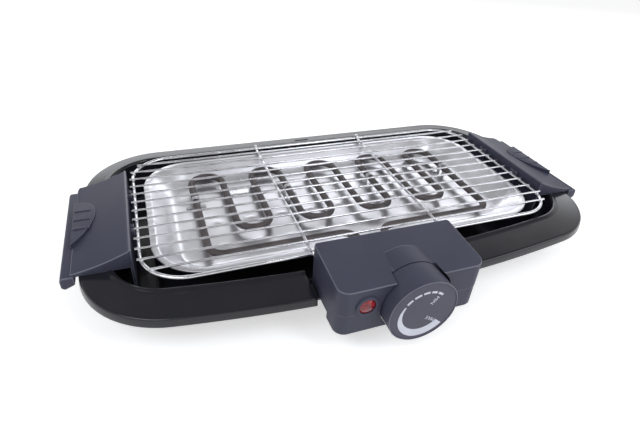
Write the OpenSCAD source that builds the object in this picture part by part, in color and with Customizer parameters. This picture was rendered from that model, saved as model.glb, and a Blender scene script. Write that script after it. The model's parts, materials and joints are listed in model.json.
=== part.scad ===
// Tabletop electric grill: a moulded tray with two end handles, a lift-out
// heating unit with its reflector pan and control box, and a lift-off wire grate.
// Millimetres. X runs along the grill, Y from its front to its back, Z up.
// Heights are counted from the table. Distances front to back are counted from
// the grate's centre line and shifted at the end, so that the origin lies under
// the middle of the whole grill.

/* [Base tray] */
// Width of the tray over its rim
base_w = 470; // [430:1:500]
// From the grate's centre line to the rim's back edge
base_back = 127; // [118:1:150]
// From the grate's centre line to the middle of the rim's bowed front edge
base_front = 140.5; // [134:0.5:145]
// Corner radius of the rim
base_corner_r = 71; // [60:1:85]
// Radius of the bowed front edge
base_bow_r = 1200; // [900:50:3000]
// Height of the rim's top face above the table
rim_h = 42; // [40:0.5:46]
// Height of the skirt that hangs from the rim
skirt_h = 7; // [5:0.5:10]
// Wall thickness of the moulded plastic
wall = 2.4; // [1.8:0.2:3]
// Width of the opening in the rim
opening_w = 424; // [414:1:428]
// From the grate's centre line to the opening's back edge
opening_back = 108; // [104:1:112]
// From the grate's centre line to the middle of the opening's front edge
opening_front = 106; // [103:0.5:108]
// Corner radius of the opening
opening_corner_r = 45; // [35:1:55]
// Height of the bead round the opening
bead_h = 1.2; // [0.6:0.2:2]
// How far the basin's walls lean in from the opening to the floor
basin_lean = 10; // [4:1:20]
// Underside of the basin above the table
foot_gap = 4; // [3:0.5:6]

/* [Handles] */
// From the middle of the grill to the handle's inner wall
handle_inner = 195; // [194:0.5:198]
// Width of the sloping top of a handle
handle_slope_w = 44; // [40:1:52]
// Front end of a handle, from the grate's centre line
handle_front = 64; // [55:1:70]
// Back end of a handle, from the grate's centre line
handle_back = 61; // [50:1:66]
// Height of the ridge along the handle's inner wall
ridge_h = 58.5; // [55:0.5:62]
// Height of the slope's outer edge
slope_low_h = 45; // [44.5:0.5:47]
// Thickness of the grip bar
grip_t = 7.4; // [6:0.2:10]
// Height of the grip bar
grip_h = 10.5; // [9:0.5:13]
// How far the thumb rest stands above the slope's outer edge
rest_rise = 5.6; // [3:0.2:6.5]

/* [Grate] */
// Width of the grate between the centres of its end wires
grate_w = 380; // [370:1:381]
// Depth of the grate between the centres of its long wires
grate_d = 189; // [182:1:190]
// Corner radius of the grate's frame
grate_corner_r = 36; // [30:1:42]
// Height of the frame wire's centre above the table
grate_h = 48.8; // [48.6:0.2:50]
// Diameter of the frame wire
frame_wire = 3.2; // [2.8:0.2:3.4]
// Diameter of the rods
rod_wire = 2; // [1.6:0.2:2.4]
// Number of rods
rod_count = 13; // [11:2:13]
// How far a short rod stands out past the frame's centre
rod_over = 2.9; // [2:0.1:3.2]
// Diameter of the two cross bars
bar_wire = 2.8; // [2.4:0.2:3]
// From the middle of the grill to a cross bar
bar_x = 61; // [50:1:90]

/* [Reflector pan] */
// Width of the pan over its rim
pan_w = 364; // [356:1:370]
// Depth of the pan over its rim
pan_d = 178; // [172:1:182]
// Corner radius of the pan's rim
pan_corner_r = 44; // [38:1:50]
// Width of the pan's flat rim
pan_rim = 6; // [4:0.5:8]
// Height of the rim above the table
pan_rim_h = 46.2; // [45.4:0.2:46.4]
// Depth of the pan from its rim to its floor
pan_depth = 16.4; // [15:0.2:18]
// How far the pan's walls slope in from the rim to the floor
pan_slope = 20; // [14:1:26]
// Thickness of the sheet
pan_t = 0.8; // [0.6:0.1:1.2]

/* [Heating element] */
// Diameter of the element's tube
tube_d = 6.5; // [6:0.1:8]
// Height of the tube's centre above the table
tube_h = 38; // [37:0.5:39]
// Number of legs that run front to back
leg_count = 10; // [10:2:10]
// Distance between neighbouring legs
leg_pitch = 30.5; // [29:0.5:31]
// From the grate's centre line to the centres of the back turns
turn_back = 50.5; // [46:0.5:54]
// From the grate's centre line to the centres of the front turns
turn_front = 17.5; // [10:0.5:22]
// From the grate's centre line to the front run's centre
run_front = 62; // [56:0.5:66]
// Radius of the four bends at the front run's ends
run_r = 13; // [10:0.5:14]
// Distance between the two ends that enter the control box
terminal_gap = 26; // [24:1:32]
// From the grate's centre line back to the clips that hold the tube
clip_back = 23; // [10:1:32]

/* [Control box] */
// Width of the control box
box_w = 119; // [112:1:124]
// Middle of the control box along the grill
box_x = -6; // [-12:0.5:0]
// From the grate's centre line to the box's back wall
box_back = 105; // [104.5:0.5:108]
// From the grate's centre line to the box's front wall
box_front = 159.5; // [157:0.5:166]
// Height of the box's top at its back edge
box_top_back = 68.5; // [66:0.5:72]
// Height of the box's top at its front edge
box_top_front = 64.5; // [62:0.5:66]
// Height of the underside of the part that hangs before the rim
box_low = 23; // [20:0.5:25]
// Height of the underside of the part that rests in the rim's saddle
saddle_h = 30; // [29:0.5:31]
// Height of the joint between the upper and the lower shell
box_split = 42; // [40:0.5:44]
// Wall thickness of the box
box_wall = 2.2; // [1.8:0.2:2.6]
// Radius of the box's front corners
box_front_r = 9; // [6:0.5:12]
// Radius of the box's back corners
box_back_r = 3; // [2.5:0.5:7]

/* [Knob and lamp] */
// Diameter of the knob
knob_d = 56; // [50:0.2:58]
// Middle of the knob along the grill
knob_x = -3.5; // [-7:0.5:0]
// Height of the knob's axis above the table
knob_h = 42.5; // [41:0.5:44]
// Length of the knob
knob_l = 23.2; // [20:0.2:28]
// Thickness of the knob's face and skirt
knob_wall = 2; // [1.4:0.2:2.6]
// How far the knob's face stands before the box's front wall
knob_out = 12; // [8:0.5:15]
// Gap between the knob and the recess round it
knob_gap = 2; // [1:0.2:3]
// Length of the hump on the box behind the knob
hump_l = 20; // [12:1:26]
// Diameter of the thermostat's shaft
shaft_d = 6; // [5:0.5:7]
// Diameter of the lamp's lens
lens_d = 13; // [10:0.5:14]
// Middle of the lamp along the grill
lamp_x = -43.8; // [-46:0.2:-42]
// Height of the lamp above the table
lamp_h = 49.2; // [47:0.2:50]

/* [Fits] */
// Gap between pieces that lift apart
lift_gap = 0.6; // [0.4:0.1:1]
// Gap round a piece that is screwed or clipped in place
seat_gap = 0.3; // [0.2:0.1:0.4]
// Radial gap of the shaft in its bush
shaft_gap = 0.05; // [0.03:0.01:0.08]

/* [Hidden] */
$fn = 64;

plastic = [0.27, 0.28, 0.33];
gloss_black = [0.10, 0.10, 0.12];
chrome = [0.80, 0.80, 0.83];
aluminium = [0.86, 0.86, 0.88];
sheath = [0.36, 0.33, 0.34];
steel = [0.62, 0.62, 0.64];
brass = [0.80, 0.66, 0.32];
rubber = [0.08, 0.08, 0.08];
lamp_red = [0.72, 0.08, 0.10];
ceramic = [0.90, 0.88, 0.82];
lamp_glass = [0.95, 0.75, 0.60];
corner_steps = 10;
bow_steps = 16;
knob_face = box_front + knob_out;
knob_back = knob_face - knob_l;
centre_shift = (knob_face - base_back) / 2;
box_left = box_x - box_w / 2;
box_right = box_x + box_w / 2;
tube_r = tube_d / 2;

// Points of an arc from angle a0 to a1
function arc(centre, r, a0, a1, steps) =
    [for (i = [0:steps]) centre + r * [cos(a0 + (a1 - a0) * i / steps), sin(a0 + (a1 - a0) * i / steps)]];

// Closed outline with a straight back, straight ends, round corners and a bowed front
function tray_outline(half_w, back, front, bow_r, corner_r) =
    let (
        bow_y = bow_r - front,
        side_x = half_w - corner_r,
        side_y = bow_y - sqrt(pow(bow_r - corner_r, 2) - pow(side_x, 2)),
        bow_a = asin(side_x / (bow_r - corner_r))
    )
    concat(
        arc([side_x, back - corner_r], corner_r, 0, 90, corner_steps),
        arc([-side_x, back - corner_r], corner_r, 90, 180, corner_steps),
        arc([-side_x, side_y], corner_r, 180, 270 - bow_a, corner_steps),
        [for (i = [1:bow_steps - 1])
            let (a = 270 - bow_a + 2 * bow_a * i / bow_steps) [bow_r * cos(a), bow_y + bow_r * sin(a)]],
        arc([side_x, side_y], corner_r, 270 + bow_a, 360, corner_steps)
    );

// Closed outline of a rectangle with round corners
function round_outline(half_w, half_d, r) =
    concat(
        arc([half_w - r, half_d - r], r, 0, 90, corner_steps),
        arc([r - half_w, half_d - r], r, 90, 180, corner_steps),
        arc([r - half_w, r - half_d], r, 180, 270, corner_steps),
        arc([half_w - r, r - half_d], r, 270, 360, corner_steps)
    );

// The same outline at a height
function lift(outline, h) = [for (p = outline) [p[0], p[1], h]];

// Solid skinned through rings of points, listed from its underside round to its inside
module skin(rings) {
    n = len(rings[0]);
    last = (len(rings) - 1) * n;
    polyhedron(
        points = [for (ring = rings) each ring],
        faces = concat(
            [[for (i = [0:n - 1]) i]],
            [for (j = [0:len(rings) - 2], i = [0:n - 1])
                [j * n + i, (j + 1) * n + i, (j + 1) * n + (i + 1) % n]],
            [for (j = [0:len(rings) - 2], i = [0:n - 1])
                [j * n + i, (j + 1) * n + (i + 1) % n, j * n + (i + 1) % n]],
            [[for (i = [n - 1:-1:0]) last + i]]
        )
    );
}

// Places what is drawn about the grate's centre line over the origin
module placed() {
    translate([0, centre_shift, 0]) children();
}

// Draws a piece and its mirror image at the other end of the grill
module both_ends() {
    children();
    mirror([1, 0, 0]) children();
}

// Rod between two points
module rod(a, b, d) {
    v = b - a;
    translate(a)
        rotate([0, acos(v[2] / norm(v)), atan2(v[1], v[0])])
            cylinder(h = norm(v), d = d);
}

// Bent wire through a list of points, with a slightly larger ball at each bend
module bent_rod(points, d) {
    for (i = [0:len(points) - 2]) rod(points[i], points[i + 1], d);
    for (i = [1:len(points) - 2]) translate(points[i]) sphere(d = d + 0.3, $fn = 32);
}

// Base tray
saddle_side = 6;
saddle_left = box_left - saddle_side;
saddle_right = box_right + saddle_side;
saddle_floor = saddle_h - lift_gap;
saddle_in = 15;
saddle_root = wall + 1;
rim_in = 1.2;
opening_r_bow = base_bow_r + 40;
post_w = 10;
post_t = pan_rim - 3;
post_x = pan_w / 2 - pan_rim + 1;
post_y = 45;
foot_d = 20;
foot_x = 165;
foot_y = 68;
foot_seat = 1.6;
foot_h = foot_gap + foot_seat;
screw_d = 3.5;
screw_head_d = 7;
screw_head_h = 2.2;
handle_screw_x = base_w / 2 - 12;
handle_screw_y = [-46, -2, 43];

function rim_ring(inset, h) =
    lift(tray_outline(base_w / 2 - inset, base_back - inset, base_front - inset,
        base_bow_r - inset, base_corner_r - inset), h);

function opening_ring(inset, h) =
    lift(tray_outline(opening_w / 2 - inset, opening_back - inset, opening_front - inset,
        opening_r_bow - inset, opening_corner_r - inset), h);

module tray_shell() {
    skin([
        opening_ring(basin_lean - wall, foot_gap),
        opening_ring(-wall, rim_h - wall),
        rim_ring(wall, rim_h - wall),
        rim_ring(wall, rim_h - skirt_h),
        rim_ring(0, rim_h - skirt_h),
        rim_ring(0, rim_h - rim_in),
        rim_ring(rim_in, rim_h),
        opening_ring(-2 * wall, rim_h),
        opening_ring(-wall, rim_h + bead_h),
        opening_ring(0, rim_h + bead_h / 2),
        opening_ring(basin_lean, foot_gap + wall)
    ]);
}

module saddle_cut() {
    translate([saddle_left, -base_front - 1, saddle_floor])
        cube([saddle_right - saddle_left, base_front + 1 - opening_front + basin_lean, rim_h + bead_h + 1 - saddle_floor]);
}

// Shelf under the back of the control box, set back so that it stays out of sight
module saddle() {
    front = saddle_in - base_front;
    depth = saddle_root - opening_front - front;
    translate([saddle_left - wall, front, saddle_floor - wall])
        cube([saddle_right - saddle_left + 2 * wall, depth, wall]);
    for (x = [saddle_left - wall, saddle_right])
        translate([x, front, saddle_floor - wall])
            cube([wall, depth, rim_h - saddle_floor + wall / 2]);
}

module base_tray() color(gloss_black) placed() {
    difference() {
        union() {
            difference() {
                tray_shell();
                saddle_cut();
            }
            saddle();
            both_ends()
                for (s = [-1, 1])
                    translate([post_x, s * post_y - post_w / 2, foot_gap + 1])
                        cube([post_t, post_w, pan_rim_h - pan_t - lift_gap - foot_gap - 1]);
        }
        for (sx = [-1, 1], sy = [-1, 1])
            translate([sx * foot_x, sy * foot_y, foot_gap - 1])
                cylinder(h = foot_seat + 1, d = foot_d + 2 * seat_gap);
        for (sx = [-1, 1], y = handle_screw_y)
            translate([sx * handle_screw_x, y, rim_h - wall - 1])
                cylinder(h = wall + 2, d = screw_d + 2 * seat_gap);
        translate([-8, (base_back + opening_back) / 2 - 1, rim_h - wall - 1])
            cube([16, 2.5, wall + 2]);
    }
}

// Handles
handle_outer = handle_inner + handle_slope_w;
handle_l = handle_front + handle_back;
grip_top = slope_low_h - 1;
grip_low = grip_top - grip_h;
rest_top = slope_low_h + rest_rise;
slope_dip = 1.6;
crest_drop = 1;
boss_d = 8;
inner_skirt_h = 24;
rest_lip = 1.6;
rest_sink = 1.2;
rest_rib_y = [-12, 1, 14];
rest_rib_l = 12;
rest_rib_t = 1;
support_l = 10;
support_drop = 8;

// Height of the handle's concave top at a share s of its width
function slope_at(s) =
    ridge_h - crest_drop + (slope_low_h - ridge_h + crest_drop) * s - slope_dip * sin(180 * s);

function slope_points(drop) =
    [for (i = [0:8]) [handle_inner + 2 + (handle_slope_w - 2) * i / 8, slope_at(i / 8) - drop]];

// Outline of the thumb rest, as a Bezier curve closed along the grip bar
rest_ends = [[1.5, 29.5], [1.5, -35.5]];
rest_pulls = [[-27, 33], [-22, -9]];
function rest_point(t, inset) =
    pow(1 - t, 3) * (rest_ends[0] - [0, inset])
    + 3 * pow(1 - t, 2) * t * (rest_pulls[0] + [inset, -inset])
    + 3 * (1 - t) * t * t * (rest_pulls[1] + [inset, inset])
    + t * t * t * (rest_ends[1] + [0, inset]);
function rest_outline(inset) = [for (i = [0:20]) rest_point(i / 20, inset)];

module handle_body() {
    rotate([90, 0, 0])
        translate([0, 0, -handle_back])
            linear_extrude(handle_l)
                polygon(concat(
                    [[handle_inner, rim_h - inner_skirt_h], [handle_inner, ridge_h - 1.2], [handle_inner + 0.8, ridge_h - 0.2]],
                    slope_points(0),
                    [[handle_outer, rim_h], [handle_inner + wall, rim_h], [handle_inner + wall, rim_h - inner_skirt_h]]
                ));
}

module handle_hollow() {
    rotate([90, 0, 0])
        translate([0, 0, wall - handle_back])
            linear_extrude(handle_l - 2 * wall)
                polygon(concat(
                    [[handle_inner + wall, rim_h - 1], [handle_inner + wall, ridge_h - 2 * wall]],
                    [for (p = slope_points(wall)) if (p[0] > handle_inner + wall + 1 && p[0] < handle_outer - wall) p],
                    [[handle_outer - wall, slope_low_h - wall], [handle_outer - wall, rim_h - 1]]
                ));
}

module grip_bar() {
    end_r = 3;
    back_end = handle_back - 7;
    front_end = handle_front + 2;
    x0 = base_w / 2 + lift_gap;
    rotate([90, 0, 0])
        translate([0, 0, -back_end])
            linear_extrude(back_end + front_end)
                difference() {
                    union() {
                        translate([handle_outer - wall, grip_low + end_r])
                            square([grip_t + wall - end_r, grip_h - end_r]);
                        translate([handle_outer, grip_low])
                            square([grip_t - end_r, grip_h]);
                        translate([handle_outer + grip_t - end_r, grip_low + end_r])
                            circle(end_r);
                        translate([handle_outer + grip_t - end_r, grip_low + end_r])
                            square([end_r, grip_h - 2 * end_r]);
                        translate([handle_outer + grip_t - end_r, grip_top - end_r])
                            circle(end_r);
                    }
                    translate([x0 - 10, grip_low - 1]) square([10, rim_h - grip_low + 1]);
                }
}

module thumb_rest() {
    side = [[4, rest_ends[0][1] - rest_lip]];
    far_side = [[4, rest_ends[1][1] + rest_lip]];
    translate([handle_outer, 0, 0])
        difference() {
            translate([0, 0, rim_h + 1])
                linear_extrude(rest_top - rim_h - 1)
                    polygon(rest_outline(0));
            translate([0, 0, rest_top - rest_sink])
                linear_extrude(rest_sink + 1)
                    polygon(concat(side, rest_outline(rest_lip), far_side));
        }
    for (y = rest_rib_y)
        translate([handle_outer - rest_rib_l, y, rest_top - rest_sink - rest_rib_t / 2])
            cube([rest_rib_l, rest_rib_t, rest_rib_t]);
}

module grate_support() {
    x0 = grate_w / 2 + frame_wire / 2 + lift_gap / 2;
    for (y = long_rod_y)
        difference() {
            translate([x0, y - support_l / 2, rim_h - support_drop])
                cube([handle_inner + 1 - x0, support_l, rod_h + rod_wire / 2 - rim_h + support_drop + 1]);
            translate([x0 - 1, y - rod_wire / 2 - lift_gap / 2, rod_h - rod_wire / 2 - 0.3])
                cube([handle_inner - x0 + 1, rod_wire + lift_gap, rod_wire + 4]);
        }
}

module handle_bosses() {
    for (y = handle_screw_y)
        translate([handle_screw_x, y, rim_h])
            cylinder(h = boss_h(), d = boss_d);
}

function boss_h() = slope_at((handle_screw_x - handle_inner) / handle_slope_w) - rim_h - 0.5;

module handle() {
    difference() {
        union() {
            difference() {
                handle_body();
                handle_hollow();
            }
            handle_bosses();
            grip_bar();
            thumb_rest();
            grate_support();
        }
        for (y = handle_screw_y)
            translate([handle_screw_x, y, rim_h - 1])
                cylinder(h = boss_h() - 0.5, d = screw_d);
        bead_notch();
    }
}

// Room for the bead round the tray's opening, which passes under the handle's end walls
module bead_notch() {
    translate([opening_w / 2 - 2 * seat_gap, -handle_front - 1, rim_h - 1])
        cube([2 * wall + 3 * seat_gap, handle_l + 2, bead_h + seat_gap + 1]);
}

module right_handle() color(plastic) placed() handle();

module left_handle() color(plastic) placed() mirror([1, 0, 0]) handle();

// Screw with its head down, seated at a height and driven upwards
module screw(at, shank_l) {
    translate(at - [0, 0, screw_head_h]) cylinder(h = screw_head_h, d = screw_head_d);
    translate(at - [0, 0, 0.01]) cylinder(h = shank_l, d = screw_d);
}

module handle_screws() color(steel) placed()
    for (sx = [-1, 1], y = handle_screw_y)
        screw([sx * handle_screw_x, y, rim_h - wall], wall + boss_h() - 3);

module rubber_feet() color(rubber) placed()
    for (sx = [-1, 1], sy = [-1, 1])
        translate([sx * foot_x, sy * foot_y, 0])
            difference() {
                cylinder(h = foot_h, d = foot_d);
                translate([0, 0, -1]) cylinder(h = 3, d = foot_d / 3);
            }

// Reflector pan
pan_floor = pan_rim_h - pan_depth;
pan_turn_r = pan_corner_r - pan_rim;
dimple_d = 7;
dimple_rise = 1.2;
rib_rise = 1;
terminal_x = [box_x + 8.5 - terminal_gap / 2, box_x + 8.5 + terminal_gap / 2];
pan_slot_side = 6;
pan_slot_h = tube_h - tube_r - 2;

function pan_ring(inset, h) =
    lift(round_outline(pan_w / 2 - inset, pan_d / 2 - inset, pan_corner_r - inset), h);

module pan_shell() {
    lip = 1.6;
    skin([
        pan_ring(pan_rim + pan_slope, pan_floor - pan_t),
        pan_ring(pan_rim, pan_rim_h - pan_t),
        pan_ring(pan_t, pan_rim_h - pan_t),
        pan_ring(pan_t, pan_rim_h - lip),
        pan_ring(0, pan_rim_h - lip),
        pan_ring(0, pan_rim_h - pan_t / 2),
        pan_ring(pan_t / 2, pan_rim_h),
        pan_ring(pan_rim - pan_t / 2, pan_rim_h),
        pan_ring(pan_rim + pan_slope - pan_t / 2, pan_floor)
    ]);
}

module reflector_pan() color(aluminium) placed() {
    half_floor = pan_w / 2 - pan_rim - pan_slope;
    difference() {
        union() {
            pan_shell();
            for (y = [clip_back + 12, clip_back + 27])
                translate([-half_floor + 12, y, pan_floor])
                    rotate([0, 90, 0])
                        cylinder(h = 2 * half_floor - 24, r = rib_rise, $fn = 24);
            for (x = [-4:4], y = [-6, -42])
                translate([x * leg_pitch, y, pan_floor - 5 + dimple_rise])
                    intersection() {
                        sphere(r = 5, $fn = 40);
                        translate([0, 0, 5 - dimple_rise - pan_t / 2])
                            cylinder(h = 6, d = dimple_d);
                    }
        }
        translate([terminal_x[0] - pan_slot_side, -pan_d, pan_slot_h])
            cube([terminal_gap + 2 * pan_slot_side, pan_d - run_front - 10, pan_rim_h]);
    }
}

// Heating element, one tube that starts and ends in the control box
first_leg = -leg_pitch * (leg_count - 1) / 2;
turn_r = leg_pitch / 2;
tube_end = box_back + 12;

module leg(x, front, back) {
    translate([x, -front, tube_h])
        rotate([-90, 0, 0]) cylinder(h = front + back, d = tube_d);
}

module bend(centre, r, a0, a) {
    translate([centre[0], centre[1], tube_h])
        rotate([0, 0, a0])
            rotate_extrude(angle = a) translate([r, 0]) circle(d = tube_d);
}

module heating_element() color(sheath) placed() {
    side = run_front - run_r;
    for (i = [1:leg_count - 2])
        leg(first_leg + i * leg_pitch, turn_front, turn_back);
    for (i = [0, leg_count - 1])
        leg(first_leg + i * leg_pitch, side, turn_back);
    for (i = [0:2:leg_count - 2])
        bend([first_leg + (i + 0.5) * leg_pitch, turn_back], turn_r, 0, 180);
    for (i = [1:2:leg_count - 3])
        bend([first_leg + (i + 0.5) * leg_pitch, -turn_front], turn_r, 180, 180);
    bend([first_leg + run_r, -side], run_r, 180, 90);
    bend([-first_leg - run_r, -side], run_r, 270, 90);
    for (s = [[first_leg + run_r, terminal_x[0] - run_r], [terminal_x[1] + run_r, -first_leg - run_r]])
        translate([s[0], -run_front, tube_h])
            rotate([0, 90, 0]) cylinder(h = s[1] - s[0], d = tube_d);
    bend([terminal_x[0] - run_r, -run_front - run_r], run_r, 0, 90);
    bend([terminal_x[1] + run_r, -run_front - run_r], run_r, 90, 90);
    for (x = terminal_x)
        translate([x, -tube_end, tube_h])
            rotate([-90, 0, 0]) cylinder(h = tube_end - run_front - run_r, d = tube_d);
}

// Pins that carry the current out of the tube's two ends
pin_d = 2.4;
pin_out = 8;

module terminal_pins() color(steel) placed()
    for (x = terminal_x)
        translate([x, -tube_end, tube_h])
            rotate([90, 0, 0]) {
                cylinder(h = pin_out, d = pin_d);
                cylinder(h = 1.6, d = tube_d - 1);
            }

// Clips that hold the tube above the pan's floor
clip_w = 5;
clip_t = 0.8;
clip_foot = 6;
clip_legs = [0, 3, 6, 9];
rivet_d = 3;

module clip() {
    r = tube_r;
    rotate([90, 0, 0])
        translate([0, 0, -clip_w / 2])
            linear_extrude(clip_w)
                difference() {
                    union() {
                        circle(r + clip_t);
                        translate([-r - clip_t, pan_floor - tube_h])
                            square([2 * (r + clip_t), tube_h - pan_floor]);
                        translate([-r - clip_foot, pan_floor - tube_h])
                            square([2 * (r + clip_foot), clip_t]);
                    }
                    circle(r);
                    translate([-r, pan_floor - tube_h - 1]) square([2 * r, tube_h - pan_floor + 1]);
                }
}

module element_clips() color(steel) placed()
    for (i = clip_legs)
        translate([first_leg + i * leg_pitch, clip_back, tube_h])
            difference() {
                clip();
                for (s = [-1, 1])
                    translate([s * (tube_r + clip_foot / 2 + 0.4), 0, pan_floor - tube_h - 1])
                        cylinder(h = 3, d = rivet_d);
            }

module clip_rivets() color(steel) placed()
    for (i = clip_legs, s = [-1, 1])
        translate([first_leg + i * leg_pitch + s * (tube_r + clip_foot / 2 + 0.4), clip_back, pan_floor]) {
            cylinder(h = clip_t, d = rivet_d);
            translate([0, 0, clip_t]) cylinder(h = 0.8, d = rivet_d + 1.2);
        }

// Steel plate that carries the tube's two ends in the box's back wall
flange_t = 1.5;
flange_side = 12;
flange_over = 3;
flange_w = terminal_gap + 2 * flange_side;
flange_low = saddle_h + box_wall + seat_gap;
flange_h = tube_h + tube_r + flange_over - flange_low;

module element_flange() color(steel) placed()
    difference() {
        translate([terminal_x[0] - flange_side, -box_back - box_wall - flange_t, flange_low])
            cube([flange_w, flange_t, flange_h]);
        for (x = terminal_x)
            translate([x, -box_back, tube_h])
                rotate([90, 0, 0]) cylinder(h = box_wall + flange_t + 1, d = tube_d);
    }

// Control box
box_slope = atan((box_top_back - box_top_front) / (box_front - box_back));
recess_r = knob_d / 2 + knob_gap;
step_y = base_front + lift_gap;
boss_r = 5;
boss_in = box_wall + boss_r + 2;
box_screws = [
    [box_left + boss_in, -box_back - boss_in],
    [box_right - boss_in, -box_back - boss_in],
    [box_left + boss_in, -box_front + boss_in],
    [box_right - boss_in, -box_front + boss_in]
];
bush_d = 9;
lamp_gap_r = lens_d / 2 + 1.4;
lamp_axis = [lamp_x, -box_front, lamp_h];

// Plan of the box, drawn smaller by an inset
module box_plan(inset) {
    fr = box_front_r - inset;
    br = max(box_back_r - inset, 1);
    x0 = box_left + inset;
    x1 = box_right - inset;
    y0 = -box_front + inset;
    y1 = -box_back - inset;
    polygon(concat(
        arc([x1 - br, y1 - br], br, 0, 90, 8),
        arc([x0 + br, y1 - br], br, 90, 180, 8),
        arc([x0 + fr, y0 + fr], fr, 180, 270, 8),
        arc([x1 - fr, y0 + fr], fr, 270, 360, 8)
    ));
}

// Everything below the box's sloping top, lowered by a drop
module under_slope(drop) {
    translate([box_left - 1, -box_back + 1, box_top_back - drop])
        rotate([box_slope, 0, 0])
            translate([0, -2 * (box_front - box_back), -100])
                cube([box_w + 2, 2 * (box_front - box_back), 100]);
}

module knob_recess(r, from_y, to_y) {
    translate([knob_x, -from_y, knob_h])
        rotate([90, 0, 0]) cylinder(h = to_y - from_y, r = r);
}

recess_y = knob_back - seat_gap;

// Holes through the walls that the joint between the two shells may cross
module box_holes() {
    knob_recess(recess_r, recess_y, box_front + 5);
    knob_recess(bush_d / 2 + seat_gap, recess_y - hump_l, recess_y + 1);
    translate(lamp_axis + [0, -1, 0])
        rotate([-90, 0, 0]) cylinder(h = box_wall + 2, r = lamp_gap_r);
    for (x = terminal_x)
        translate([x, -box_back + 1, tube_h])
            rotate([90, 0, 0]) cylinder(h = box_wall + 2, r = tube_r + seat_gap);
}

module control_cover() color(plastic) placed() {
    difference() {
        union() {
            difference() {
                intersection() {
                    translate([0, 0, box_split]) linear_extrude(60) box_plan(0);
                    under_slope(0);
                }
                intersection() {
                    translate([0, 0, box_split - 1]) linear_extrude(60) box_plan(box_wall);
                    under_slope(box_wall);
                }
            }
            intersection() {
                translate([0, 0, box_split]) linear_extrude(60) box_plan(0);
                knob_recess(knob_d / 2, recess_y - hump_l, recess_y);
            }
            intersection() {
                translate([0, 0, box_split]) linear_extrude(60) box_plan(0);
                under_slope(0);
                knob_recess(recess_r + box_wall, recess_y - box_wall, box_front);
            }
            intersection() {
                for (p = box_screws)
                    translate([p[0], p[1], box_split]) cylinder(h = 60, r = boss_r);
                under_slope(box_wall / 2);
            }
        }
        box_holes();
        knob_recess(knob_d / 2 - box_wall, recess_y - hump_l + box_wall, recess_y - box_wall);
        for (p = box_screws)
            translate([p[0], p[1], box_split - 1])
                cylinder(h = box_top_front - box_split - 4, d = screw_d);
    }
}

module control_bottom() color(plastic) placed() {
    difference() {
        union() {
            difference() {
                union() {
                    translate([0, 0, saddle_h]) linear_extrude(box_split - saddle_h) box_plan(0);
                    intersection() {
                        translate([0, 0, box_low]) linear_extrude(box_split - box_low) box_plan(0);
                        translate([box_left - 1, -box_front - 1, box_low])
                            cube([box_w + 2, box_front + 1 - step_y, box_split - box_low]);
                    }
                }
                translate([0, 0, saddle_h + box_wall]) linear_extrude(60) box_plan(box_wall);
                intersection() {
                    translate([0, 0, box_low + box_wall]) linear_extrude(60) box_plan(box_wall);
                    translate([box_left, -box_front, box_low])
                        cube([box_w, box_front - step_y - box_wall, box_split]);
                }
            }
            intersection() {
                translate([0, 0, box_low]) linear_extrude(box_split - box_low) box_plan(0);
                knob_recess(recess_r + box_wall, recess_y - box_wall, box_front);
            }
            for (i = [0:3])
                translate([box_screws[i][0], box_screws[i][1], i < 2 ? saddle_h : box_low])
                    cylinder(h = box_split - (i < 2 ? saddle_h : box_low), r = boss_r);
        }
        box_holes();
        for (i = [0:3])
            translate([box_screws[i][0], box_screws[i][1], (i < 2 ? saddle_h : box_low) - 1]) {
                cylinder(h = 60, d = screw_d + 2 * seat_gap);
                cylinder(h = screw_head_h + 2, d = screw_head_d + 2 * seat_gap);
            }
        translate([gland_at[0], gland_at[1], box_low - 1])
            cylinder(h = box_wall + 2, d = gland_d);
    }
}

module housing_screws() color(steel) placed()
    for (i = [0:3])
        screw([box_screws[i][0], box_screws[i][1], (i < 2 ? saddle_h : box_low) + screw_head_h + 1],
            box_top_front - (i < 2 ? saddle_h : box_low) - screw_head_h - 7);

// Pilot lamp
bezel_t = 1.6;
lens_t = 1;

module lamp_bezel() color(plastic) placed()
    translate(lamp_axis)
        rotate([90, 0, 0])
            difference() {
                union() {
                    translate([0, 0, -box_wall - 3]) cylinder(h = box_wall + 3, r = lamp_gap_r);
                    cylinder(h = bezel_t, r1 = lamp_gap_r + 1, r2 = lamp_gap_r);
                }
                translate([0, 0, -box_wall - 4]) cylinder(h = box_wall + bezel_t + 5, d = lens_d);
            }

module lamp_lens() color(lamp_red) placed()
    translate(lamp_axis)
        rotate([90, 0, 0])
            difference() {
                union() {
                    translate([0, 0, -box_wall - 3]) cylinder(h = box_wall + 3 + bezel_t / 2, d = lens_d);
                    translate([0, 0, bezel_t / 2 - 14.1])
                        intersection() {
                            sphere(r = 15.6);
                            translate([0, 0, 14.1]) cylinder(h = 3, d = lens_d - 1);
                        }
                }
                translate([0, 0, -box_wall - 4]) cylinder(h = box_wall + 4 - lens_t, d = lens_d - 2.4);
            }

// Glow lamp behind the lens, clear of the lens's inner face
neon_d = 5;
neon_l = 11;
neon_back = lens_t + seat_gap + neon_d / 2;
neon_lead = 6;
lead_end = lamp_axis[1] + neon_back + neon_l + neon_lead;

module neon_lamp() color(lamp_glass) placed()
    translate(lamp_axis + [0, neon_back, 0])
        rotate([-90, 0, 0]) {
            sphere(d = neon_d);
            cylinder(h = neon_l, d = neon_d);
            for (s = [-1, 1]) translate([s, 0, neon_l - 1]) cylinder(h = neon_lead + 1, d = 0.8);
        }

// Thermostat
stat_w = 32;
stat_h = 2 * (knob_h - saddle_h - box_wall - seat_gap);
stat_l = 15;
stat_back = knob_back - seat_gap - box_wall - 0.2;
bush_l = box_wall + 6;
nut_w = 14;
nut_t = 2.4;

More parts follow.
